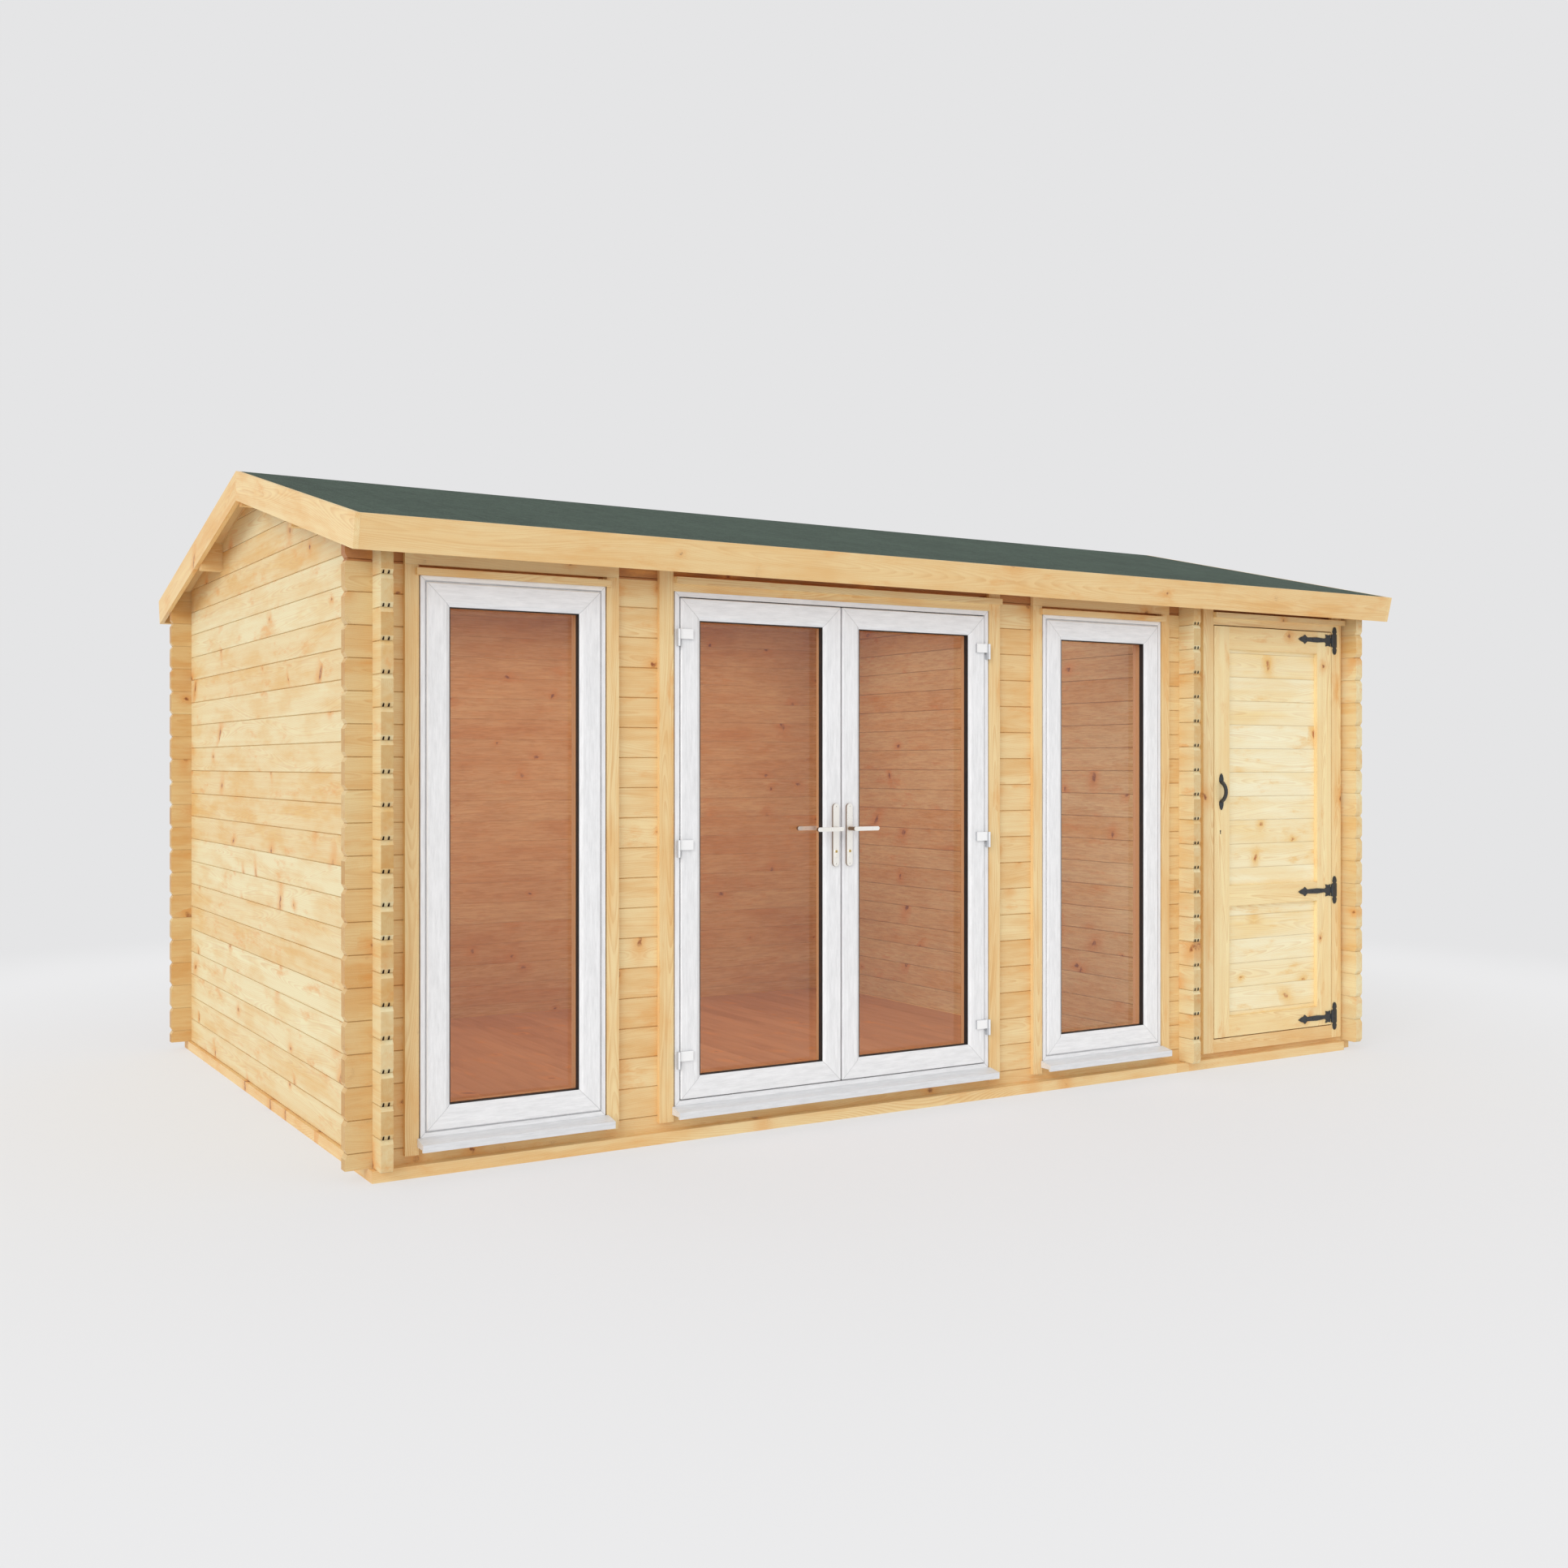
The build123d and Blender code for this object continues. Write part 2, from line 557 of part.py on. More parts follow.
# Glazed leaves: each is a mitred frame with glass and seal, hung on flag hinges at its outer edge
leaf_width = (DOOR_WIDTH - 2 * DOOR_FRAME_FACE - 2 * RUNNING_GAP - MEETING_GAP) / 2
leaf_height = UNIT_HEIGHT - 2 * DOOR_FRAME_FACE - 2 * RUNNING_GAP
leaf_bottom = unit_bottom + DOOR_FRAME_FACE + RUNNING_GAP
leaf_profile = (
    (0, LEAF_THICKNESS), (0, LEAF_CHAMFER), (LEAF_CHAMFER, 0), (SASH_FACE - BEAD_WIDTH, 0),
    (SASH_FACE, BEAD_DEPTH), (SASH_FACE, LEAF_THICKNESS),
)
axis_y = leaf_face - AXIS_PROUD
hinge_heights = (
    leaf_bottom + HINGE_END_INSET,
    leaf_bottom + leaf_height / 2,
    leaf_bottom + leaf_height - HINGE_END_INSET,
)


def barrels(axis_x, root, backing, low, high):
    """Hinge barrels, three up the leaf, each with a foot from the axis to the root and the backing."""
    with BuildPart() as pieces:
        for z in hinge_heights:
            with BuildSketch(Plane.XY.offset(z + low)):
                with Locations((axis_x, axis_y)):
                    Circle(HINGE_RADIUS)
                patch(min(axis_x, root), max(axis_x, root), axis_y, backing - FIT)
            extrude(amount=high - low)
    return pieces.part


hinge_foot = -HINGE_HEIGHT / 2
flag_foot = HINGE_HEIGHT / 2 - HINGE_FLAG_HEIGHT
frame_barrels = []
for side, name in ((-1, "left"), (1, "right")):
    hung_edge = door_centre + side * (MEETING_GAP / 2 + leaf_width)
    meeting_edge = door_centre + side * MEETING_GAP / 2
    centre = (hung_edge + meeting_edge) / 2
    axis_x = door_centre + side * (DOOR_WIDTH / 2 - AXIS_INSET)
    pane = (
        centre - leaf_width / 2 + SASH_FACE, centre + leaf_width / 2 - SASH_FACE,
        leaf_bottom + SASH_FACE, leaf_bottom + leaf_height - SASH_FACE,
    )
    lever_x = meeting_edge + side * HANDLE_BACKSET
    with BuildPart() as leaf_frame:
        add(mitred_frame(centre, leaf_width, leaf_bottom, leaf_height, leaf_face, leaf_profile))
        with BuildSketch(facing(leaf_face + LEAF_THICKNESS)):
            with Locations((lever_x, HANDLE_HEIGHT)):
                Circle(SPINDLE_BORE)
        extrude(amount=LEAF_THICKNESS, mode=Mode.SUBTRACT)
    keep(leaf_frame.part, f"{name}_leaf_frame")
    keep(glazing([pane], GLASS_THICKNESS, glass_front, FIT), f"{name}_leaf_glass")
    keep(gaskets([pane], leaf_face + BEAD_DEPTH, glass_front - FIT), f"{name}_leaf_gasket")
    with BuildPart() as leaf_hinges:
        add(barrels(axis_x, hung_edge - side * HINGE_RADIUS, leaf_face, flag_foot + FIT, HINGE_HEIGHT / 2))
        flag_end = axis_x - side * HINGE_FLAG
        with BuildSketch(facing(leaf_face - FIT)):
            for z in hinge_heights:
                patch(min(axis_x, flag_end), max(axis_x, flag_end), z + flag_foot + FIT, z + HINGE_HEIGHT / 2)
        extrude(amount=HINGE_FLAG_THICKNESS)
    keep(leaf_hinges.part, f"{name}_leaf_hinges")
    frame_barrels.append(barrels(axis_x, axis_x - side * HINGE_RADIUS, unit_face, hinge_foot, flag_foot))

    plate_top = HANDLE_HEIGHT + PLATE_ABOVE_AXIS
    with BuildPart() as plates:
        for plane in (facing(leaf_face - FIT), facing(leaf_face + LEAF_THICKNESS + FIT + PLATE_THICKNESS)):
            with BuildSketch(plane):
                with Locations((lever_x, plate_top - PLATE_LENGTH / 2)):
                    SlotOverall(PLATE_LENGTH, PLATE_WIDTH, rotation=90)
                with Locations((lever_x, HANDLE_HEIGHT)):
                    Circle(SPINDLE_BORE, mode=Mode.SUBTRACT)
            extrude(amount=PLATE_THICKNESS)
    keep(plates.part, f"{name}_leaf_handle_plates")

    outer_plate = leaf_face - FIT - PLATE_THICKNESS
    inner_plate = leaf_face + LEAF_THICKNESS + FIT + PLATE_THICKNESS
    lever_middle = lever_x + side * (LEVER_LENGTH - LEVER_SECTION) / 2
    with BuildPart() as lever:
        with BuildSketch(facing(inner_plate + LEVER_STANDOFF)):
            with Locations((lever_x, HANDLE_HEIGHT)):
                Rectangle(SPINDLE, SPINDLE)
        extrude(amount=inner_plate - outer_plate + 2 * LEVER_STANDOFF)
        for near in (outer_plate - FIT, inner_plate + FIT + LEVER_STANDOFF):
            with BuildSketch(facing(near)):
                with Locations((lever_x, HANDLE_HEIGHT)):
                    Circle(LEVER_NECK)
            extrude(amount=LEVER_STANDOFF)
        for near in (outer_plate - LEVER_STANDOFF, inner_plate + LEVER_STANDOFF + LEVER_THICKNESS):
            with BuildSketch(facing(near)):
                with Locations((lever_middle, HANDLE_HEIGHT)):
                    SlotOverall(LEVER_LENGTH, LEVER_SECTION)
            extrude(amount=LEVER_THICKNESS)
    keep(lever.part, f"{name}_lever")

with BuildPart() as door_frame_hinges:
    for part in frame_barrels:
        add(part)
keep(door_frame_hinges.part, "door_frame_hinges")

# Store door: timber jambs and stop in the wall, casing on its face, framed and boarded leaf
store_bottom = sill_top + STORE_LEAF_BOTTOM
store_top = store_bottom + STORE_LEAF_HEIGHT
jamb_head = store_top + RUNNING_GAP
jamb_foot = store_bottom - RUNNING_GAP
wall_inner = y_front + LOG_THICKNESS
with BuildPart() as store_door_frame:
    with BuildSketch(facing(wall_inner)):
        patch(jamb_left - JAMB_THICKNESS, jamb_left, sill_top + FIT, jamb_head + JAMB_THICKNESS)
        patch(jamb_right, jamb_right + JAMB_THICKNESS, sill_top + FIT, jamb_head + JAMB_THICKNESS)
        patch(jamb_left + FIT, jamb_right - FIT, jamb_head, jamb_head + JAMB_THICKNESS)
        patch(jamb_left + FIT, jamb_right - FIT, sill_top + FIT, jamb_foot)
    extrude(amount=LOG_THICKNESS)
    with BuildSketch(facing(wall_inner)):
        patch(jamb_left, jamb_left + JAMB_STOP, jamb_foot + FIT, jamb_head - FIT)
        patch(jamb_right - JAMB_STOP, jamb_right, jamb_foot + FIT, jamb_head - FIT)
        patch(jamb_left + JAMB_STOP + FIT, jamb_right - JAMB_STOP - FIT, jamb_head - JAMB_STOP, jamb_head)
        patch(jamb_left + JAMB_STOP + FIT, jamb_right - JAMB_STOP - FIT, jamb_foot, jamb_foot + JAMB_STOP)
    extrude(amount=STORE_STOP_DEPTH)
keep(store_door_frame.part, "store_door_frame")

casing_foot = sill_top - STORE_THRESHOLD_DROP
with BuildPart() as store_casing:
    with BuildSketch(facing(y_front - FIT)):
        patch(store_left, jamb_left, casing_foot, casing_head)
        patch(jamb_right, store_right, casing_foot, casing_head)
        patch(jamb_left + FIT, jamb_right - FIT, casing_foot, jamb_foot)
        patch(jamb_left + FIT, jamb_right - FIT, jamb_head, unit_top + STORE_HEAD_BOARD)
    extrude(amount=CASING_THICKNESS - FIT)
keep(store_casing.part, "store_casing")

leaf_left = jamb_left + RUNNING_GAP
leaf_right = jamb_right - RUNNING_GAP
mid_rail_top = store_bottom + STORE_MID_RAIL
store_rails = (
    (store_bottom, store_bottom + STORE_RAIL),
    (mid_rail_top - STORE_RAIL, mid_rail_top),
    (store_top - STORE_TOP_RAIL, store_top),
)
with BuildPart() as store_leaf_frame:
    with BuildSketch(facing(unit_face + STORE_RAIL_THICKNESS)):
        patch(leaf_left, leaf_left + STORE_STILE, store_bottom, store_top)
        patch(leaf_right - STORE_STILE, leaf_right, store_bottom, store_top)
        for low, high in store_rails:
            patch(leaf_left + STORE_STILE + FIT, leaf_right - STORE_STILE - FIT, low, high)
    extrude(amount=STORE_RAIL_THICKNESS)
keep(store_leaf_frame.part, "store_leaf_frame")

with BuildPart() as store_leaf_boards:
    with BuildSketch(facing(unit_face + STORE_RAIL_THICKNESS + FIT + STORE_BOARD_THICKNESS)):
        patch(leaf_left, leaf_right, store_bottom, store_top)
    extrude(amount=STORE_BOARD_THICKNESS)
keep(store_leaf_boards.part, "store_leaf_boards")

# Tee hinges: straps on the leaf, plates on the casing, barrels between
strap_heights = (store_bottom + STRAP_END_INSET, mid_rail_top - STORE_RAIL / 2, store_top - STRAP_END_INSET)
store_axis_x = jamb_right - RUNNING_GAP / 2
store_axis_y = unit_face - STRAP_KNUCKLE - FIT
strap_back = unit_face - FIT


def mirrored_outline(half, origin_x, origin_z):
    """Closed outline from one half listed as (x, z) from its middle line, mirrored top to bottom."""
    upper = [(origin_x + x, origin_z + z) for x, z in half]
    lower = [(origin_x + x, origin_z - z) for x, z in reversed(half) if z > 0]
    Polygon(*upper, *lower, align=None)


# Half outline of a strap: scalloped root, narrow waist, and a spear head that ends in a point
strap_half = [
    (-STRAP_KNUCKLE / 2, STRAP_WIDTH / 2), (-STRAP_KNUCKLE - RUNNING_GAP, STRAP_WIDTH / 2),
    (-STRAP_KNUCKLE - RUNNING_GAP, STRAP_ROOT / 2), (-26, STRAP_ROOT / 2 - 4), (-46, STRAP_ROOT / 2),
    (-42, STRAP_WIDTH / 2 + 2), (-52, STRAP_WIDTH / 2 - 4), (-110, STRAP_WIDTH / 2),
    (64 - STRAP_LENGTH, STRAP_WIDTH / 2 - 3), (46 - STRAP_LENGTH, STRAP_WIDTH - 3),
    (36 - STRAP_LENGTH, STRAP_WIDTH / 2 + 2), (18 - STRAP_LENGTH, STRAP_WIDTH / 2 - 3),
    (-STRAP_LENGTH, 0),
]
with BuildPart() as store_leaf_straps:
    with BuildSketch(facing(strap_back)):
        for z in strap_heights:
            mirrored_outline(strap_half, store_axis_x, z)
    extrude(amount=STRAP_THICKNESS)
    for z in strap_heights:
        with BuildSketch(Plane.XY.offset(z - STRAP_WIDTH / 2)):
            with Locations((store_axis_x, store_axis_y)):
                Circle(STRAP_KNUCKLE)
            patch(store_axis_x - 2 * STRAP_KNUCKLE, store_axis_x, store_axis_y, strap_back)
        extrude(amount=STRAP_WIDTH)
keep(store_leaf_straps.part, "store_leaf_straps")

# Outline of a plate: straight middle, a neck and a barbed leaf at each end
plate_end = STRAP_PLATE_HEIGHT / 2
plate_half_width = STRAP_PLATE_WIDTH / 2
plate_half = [
    (-plate_half_width, 0), (-plate_half_width, plate_end - 37), (6 - plate_half_width, plate_end - 33),
    (-plate_half_width, plate_end - 25), (4 - plate_half_width, plate_end - 8), (-4, plate_end),
    (4, plate_end), (plate_half_width - 4, plate_end - 8), (plate_half_width, plate_end - 25),
    (plate_half_width - 6, plate_end - 33), (plate_half_width, plate_end - 37), (plate_half_width, 0),
]
plate_x = store_axis_x + STRAP_KNUCKLE + plate_half_width
barrel_spans = ((-STRAP_ROOT / 2, -STRAP_WIDTH / 2 - FIT), (STRAP_WIDTH / 2 + FIT, STRAP_ROOT / 2))
with BuildPart() as store_hinge_plates:
    with BuildSketch(facing(strap_back)):
        for z in strap_heights:
            mirrored_outline(plate_half, plate_x, z)
    extrude(amount=STRAP_THICKNESS)
    for z in strap_heights:
        for low, high in barrel_spans:
            with BuildSketch(Plane.XY.offset(z + low)):
                with Locations((store_axis_x, store_axis_y)):
                    Circle(STRAP_KNUCKLE)
                patch(store_axis_x, plate_x, store_axis_y, strap_back)
            extrude(amount=high - low)
keep(store_hinge_plates.part, "store_hinge_plates")

# Bow pull on the store door: a flat grip bent outwards between two leaf shaped plates
pull_x = leaf_left + PULL_INSET
pull_half = PULL_LENGTH / 2
grip_half = pull_half - PULL_PLATE + PULL_GRIP_THICKNESS
plate_side = PULL_PLATE_WIDTH / 2
plate_neck = pull_half - PULL_PLATE
plate_shoulder = pull_half - 0.6 * PULL_PLATE
tip_side = 0.6 * plate_side
tip_shoulder = pull_half - 0.2 * PULL_PLATE
pull_plate = [
    (-plate_side, plate_neck), (-plate_side, plate_shoulder), (-tip_side, tip_shoulder), (0, pull_half),
    (tip_side, tip_shoulder), (plate_side, plate_shoulder), (plate_side, plate_neck),
]
grip_out = strap_back - PULL_PROJECTION
grip_in = grip_out + PULL_GRIP_THICKNESS
inner_half = grip_half - 1.6 * PULL_GRIP_THICKNESS
outer_foot = (strap_back, PULL_HEIGHT - grip_half)
outer_head = (strap_back, PULL_HEIGHT + grip_half)
inner_foot = (strap_back, PULL_HEIGHT - inner_half)
inner_head = (strap_back, PULL_HEIGHT + inner_half)
with BuildPart() as store_leaf_pull:
    with BuildSketch(facing(strap_back)):
        for turn in (1, -1):
            Polygon(*[(pull_x + x, PULL_HEIGHT + turn * z) for x, z in pull_plate], align=None)
    extrude(amount=STRAP_THICKNESS)
    with BuildSketch(Plane.YZ.offset(pull_x - PULL_GRIP_WIDTH / 2)):
        with BuildLine():
            ThreePointArc(outer_foot, (grip_out, PULL_HEIGHT), outer_head)
            Line(outer_head, inner_head)
            ThreePointArc(inner_head, (grip_in, PULL_HEIGHT), inner_foot)
            Line(inner_foot, outer_foot)
        make_face()
    extrude(amount=PULL_GRIP_WIDTH)
keep(store_leaf_pull.part, "store_leaf_pull")
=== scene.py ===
import math

import bpy
import numpy as np
from bpy.props import FloatProperty, FloatVectorProperty, PointerProperty
from mathutils import Matrix, Vector


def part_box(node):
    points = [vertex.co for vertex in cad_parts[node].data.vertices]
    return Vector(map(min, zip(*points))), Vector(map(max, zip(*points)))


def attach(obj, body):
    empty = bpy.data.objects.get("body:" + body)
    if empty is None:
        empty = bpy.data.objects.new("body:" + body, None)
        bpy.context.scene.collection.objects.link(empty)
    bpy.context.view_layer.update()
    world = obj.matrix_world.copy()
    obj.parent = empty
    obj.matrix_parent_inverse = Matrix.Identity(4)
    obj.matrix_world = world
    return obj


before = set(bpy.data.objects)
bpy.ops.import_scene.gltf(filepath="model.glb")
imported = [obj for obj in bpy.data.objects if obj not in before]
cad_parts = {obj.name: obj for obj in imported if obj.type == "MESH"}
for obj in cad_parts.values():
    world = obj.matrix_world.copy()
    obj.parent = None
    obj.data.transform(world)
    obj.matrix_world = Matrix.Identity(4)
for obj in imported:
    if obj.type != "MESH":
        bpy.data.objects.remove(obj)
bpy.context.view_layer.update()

bl_info = {
    "name": "Log Cabin",
    "version": (1, 0, 0),
    "blender": (4, 5, 0),
    "location": "View3D > Sidebar > Log Cabin",
    "description": "Finishes and small fittings of a garden log cabin",
    "category": "Object",
}

# Nodes of the frame, by what they are made of and the way their timber runs
SIDE_WALLS = ("left_wall", "partition_wall", "right_wall")
SLOTTED_WALLS = ("left_wall", "partition_wall")
CROSS_WALLS = (
    "back_wall", "front_sill_log", "front_left_pier", "front_door_piers", "front_partition_pier",
    "front_right_pier", "front_head_logs",
)
FLOORS = ("main_floor", "store_floor")
ROOF_DECKS = ("roof_deck_front", "roof_deck_back")
ROOF_FELTS = ("roof_felt_front", "roof_felt_back")
VERGES = ("left_verge_boards", "right_verge_boards")
EDGE_BOARDS = ("front_fascia", "back_fascia") + VERGES
BEAMS = ("front_purlin", "ridge_purlin", "back_purlin", "ground_bearers", "floor_joists")
TRIMS = ("window_casings", "drip_strips", "door_casing", "store_casing", "store_door_frame")
WINDOW_BARS = ("left_window_frame", "right_window_frame", "door_frame", "left_leaf_frame", "right_leaf_frame")
CILLS = ("left_window_cill", "right_window_cill", "door_cill")
FLAG_HINGES = ("door_frame_hinges", "left_leaf_hinges", "right_leaf_hinges")
PANES = {
    "left_window_frame": "window_glass",
    "right_window_frame": "window_glass",
    "left_leaf_frame": "left_leaf_glass",
    "right_leaf_frame": "right_leaf_glass",
}
GLASS = sorted(set(PANES.values()))
SEALS = ("window_gaskets", "left_leaf_gasket", "right_leaf_gasket")
HANDLES = ("left_lever", "right_lever", "left_leaf_handle_plates", "right_leaf_handle_plates")
IRONS = ("store_leaf_straps", "store_hinge_plates", "store_leaf_pull")

# First board number of each kind of timber or plastic: each board's number picks its own piece of the figure
FIRST_BOARD = {
    "side": 0, "cross": 3, "beam": 20, "trim": 40, "stile": 49, "door": 50, "floor": 60, "deck": 70, "edge": 80,
    "plastic": 100,
}
NODE_STEP = 3.17
SOLID_STEP = 0.731
COURSE_STEP = 1.618

# Places taken from the frame
WALL_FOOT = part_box("left_wall")[0].z
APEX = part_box("ridge_purlin")[1].z
ROOM_MARGIN = 0.012

# Ways that an upright face can look
FRONT = (0.0, -1.0, 0.0)
BACK = (0.0, 1.0, 0.0)

# Axes of boards in the frame, as their run, their rise and their depth
ALONG_SIDE = (1, 2, 0)
ALONG_FRONT = (0, 2, 1)
FRONT_TO_BACK = (1, 0, 2)

# Widths of the dark joints between boards, and how far round a normal counts as square on
LOG_JOINT = 0.0018
BOARD_JOINT = 0.002
SQUARE_ON = 0.9

# Tints that multiply the wood, and the glass
LOG_END_TINT = (0.765, 0.62, 0.456)
# Board ends are paled by this tint as painted highlight
BOARD_END_PAINTED_HIGHLIGHT = (1.08, 1.12, 1.16)
# Painted shade on the log ends past a corner
STUB_PAINTED_SHADE = (0.86, 0.86, 0.84)
JOINT_TINT = 0.7
GLASS_IOR = 1.5
GLASS_MIRROR = (0.96, 0.97, 0.97)

# Pine: rates of change over a metre along the board, up it and into it, and lengths in metres. Each grain has its
# rates, its detail and its roughness.
WOOD_TONES = ("Pale", "Warm", "Latewood", "Blush", "Knot")
BOARD_SPREAD = (37.0, 11.0, 5.0)
PINE_GRAINS = {
    "waver": ((2.5, 22.0, 22.0), 2.0, 0.5),
    "patch": ((2.3, 10.0, 10.0), 3.0, 0.6),
    "blush": ((3.4, 11.0, 11.0), 5.0, 0.68),
    "streak": ((1.1, 55.0, 55.0), 3.0, 0.6),
    "fibre": ((14.0, 520.0, 520.0), 2.0, 0.5),
}
HEART_RATE = 0.55
HEART_SWAY = (0.24, -0.12)
HEART_DEPTH = (0.10, -0.005)
RING_WAVER = 0.006
RING_BULGE = 0.010
KNOT_RATE = 5.5
KNOT_LENGTHEN = (0.8, 1.0, 0.0)
KNOT_WARP_RATE = 26.0
KNOT_WARP = (0.034, 0.034, 0.0)
KNOT_RADIUS = 0.0035
KNOT_SPREAD = 0.009
HALO_FALL = -0.07
PINE_RELIEF = 0.00025
GAP_DEPTH = -5.0

# Painted shade inside the rooms, in broad patches, with dark streaks of grain
SHADE_PATCH_RATE = (0.9, 1.6, 1.0)
ROOM_STREAK_RATE = (10.0, 110.0, 110.0)

# Painted shade in the gap at the end of a tongue joint in a log end, seen from outside, and where its two tongues
# stand
SLOT_OUTLINE = ((-0.0040, 0.0004), (0.0030, 0.0004), (0.0043, 0.0092), (0.0037, 0.0136), (0.0006, 0.0124))
SLOT_OFFSETS = (-0.0145, 0.0047)
SLOT_ROOT = -0.002
SLOT_LIP = 0.0004
SLOT_HEADROOM = 0.03

# Profiles of turned fittings, as radius and height
CYLINDER_RING = ((0.0085, -0.001), (0.0085, 0.0022), (0.0080, 0.0028), (0.0010, 0.0028))
CYLINDER_PLUG = ((0.0058, 0.002), (0.0058, 0.0030), (0.0052, 0.0034), (0.0010, 0.0034))
PLATE_SCREW = ((0.0036, -0.001), (0.0036, 0.0003), (0.0028, 0.0009), (0.0006, 0.0012))
IRON_SCREW = ((0.0042, -0.001), (0.0042, 0.0004), (0.0034, 0.0017), (0.0018, 0.0024), (0.0002, 0.0026))

# Screws of a tee hinge: inset from the strap's root and rise on the strap, and rise on the plate
STRAP_SCREWS = ((0.226, 0.0), (0.190, 0.0), (0.140, 0.0), (0.080, 0.0), (0.030, 0.017), (0.030, -0.017))
HINGE_PLATE_SCREWS = (-0.057, -0.020, 0.020, 0.057)

# Widths of the lamps inside, by the floor that they hang over
ROOM_LAMPS = {"main_floor": 3.2, "store_floor": 0.6}


def paint(red, green, blue):
    """Linear colour of a paint matched on the screen, given as three bytes."""
    return tuple(((c / 255 + 0.055) / 1.055) ** 2.4 if c > 10 else c / 3294.6 for c in (red, green, blue))


# Painted shade: dark plates for the gaps of the tongue joints, and for key slots, screw slots and the keyhole
JOINT_SHADE = paint(34, 19, 11)
KEY_SHADE = paint(30, 27, 24)


def triple(name, description, default, kind):
    """Setting for three numbers of a kind."""
    return FloatVectorProperty(name=name, description=description, default=default, subtype=kind)


def colour(name, description, *tone):
    """Setting for a colour, from the bytes of its screen colour."""
    return triple(name, description, paint(*tone), "COLOR")


def amount(name, description, default, unit="NONE"):
    """Setting for a number."""
    return FloatProperty(name=name, description=description, default=default, unit=unit)


def length(name, description, metres):
    """Setting for a length."""
    return amount(name, description, metres, "LENGTH")


def angle(name, description, degrees):
    """Setting for an angle, given in degrees."""
    return amount(name, description, math.radians(degrees), "ROTATION")


class TimberSettings(bpy.types.PropertyGroup):
    """Sizes and colours of the logs and boards."""

    log_pitch: length("Log Pitch", "Height of one log, from joint to joint", 0.114)
    floor_pitch: length("Floor Board", "Width of one floor board", 0.087)
    roof_pitch_width: length("Roof Board", "Width of one roof board", 0.09)
    door_pitch: length("Door Board", "Width of one board of the store door", 0.1155)
    # The side walls' tones are paled as painted light and the cross walls' tones warmed as painted shade; the roof
    # boards share the cross walls' tones
    side_pale: colour("Side Sapwood", "Palest wood of the side walls", 241, 229, 185)
    side_warm: colour("Side Heartwood", "Warmest wood of the side walls", 231, 189, 120)
    front_pale: colour("Front Sapwood", "Palest wood of the cross walls", 246, 222, 169)
    front_warm: colour("Front Heartwood", "Warmest wood of the cross walls", 229, 176, 106)
    # The logs under the eaves are darkened as painted shade of the eaves
    head_pale: colour("Head Sapwood In Painted Shade", "Palest wood of the logs under the eaves, darkened as painted eaves shade", 186, 130, 82)
    head_warm: colour("Head Heartwood In Painted Shade", "Warmest wood of the logs under the eaves, darkened as painted eaves shade", 162, 100, 58)
    trim_pale: colour("Board Sapwood", "Palest wood of trims and edge boards", 249, 228, 176)
    trim_warm: colour("Board Heartwood", "Warmest wood of trims and edge boards", 236, 188, 121)
    door_pale: colour("Door Sapwood", "Palest wood of the store door", 255, 248, 213)
    door_warm: colour("Door Heartwood", "Warmest wood of the store door", 250, 222, 160)
    door_blush: colour("Door Blush", "Golden patches of the store door", 240, 186, 92)
    door_knot: colour("Door Knot", "Heart of a knot in the store door", 176, 88, 38)
    stile_pale: colour("Stile Sapwood", "Palest wood of the store door's frame", 254, 236, 184)
    stile_warm: colour("Stile Heartwood", "Warmest wood of the store door's frame", 247, 210, 146)
    floor_pale: colour("Floor Sapwood", "Palest floor board", 214, 167, 124)
    floor_warm: colour("Floor Heartwood", "Warmest floor board", 183, 128, 86)
    latewood: colour("Grain Line", "Dense wood between the rings", 214, 156, 90)
    blush: colour("Blush", "Reddened wood in patches and round knots", 231, 165, 90)
    knot: colour("Knot", "Heart of a knot", 134, 58, 30)
    # Tint of the painted shade inside the rooms
    room_shade: triple("Room Shade", "Tint of the painted shade and streaks on the logs inside", (0.78, 0.67, 0.56), "COLOR")


class RoofSettings(bpy.types.PropertyGroup):
    """Slope and covering of the roof."""

    slope: angle("Slope", "Fall of each roof slope", 13.27)
    felt: colour("Felt", "Mineral granules", 68, 84, 73)
    granule: length("Granule", "Size of the mineral granules", 0.0022)


class GlazingSettings(bpy.types.PropertyGroup):
    """Colours of the windows, doors and their fittings."""

    plastic: colour("Plastic", "Foiled window plastic", 243, 243, 244)
    # The cills' plastic is darkened as painted shade
    cill_painted_shade: colour("Cill Plastic", "Foiled plastic of the cills, darkened as painted shade", 228, 229, 231)
    hinge: colour("Hinge Plastic", "Smooth plastic of the flag hinges", 253, 253, 253)
    # Painted shade on the sides of the flag hinges
    hinge_painted_side_shade: colour("Hinge Side Shade", "Painted shade on the sides of the flag hinges", 186, 188, 192)
    seal: colour("Seal", "Rubber round the glass", 26, 27, 29)
    metal: colour("Handle Metal", "Satin metal", 254, 251, 244)
    # Painted shade and painted dark reflection on the rounded edges of the handles
    painted_side_shade: colour("Handle Side Shade", "Painted shade and dark reflection on the rounded edges of the handles", 128, 98, 70)
    brass: colour("Brass", "Plugs of the key cylinders", 216, 184, 112)
    iron: colour("Black Iron", "Coated hinges and pull of the store door", 50, 53, 56)


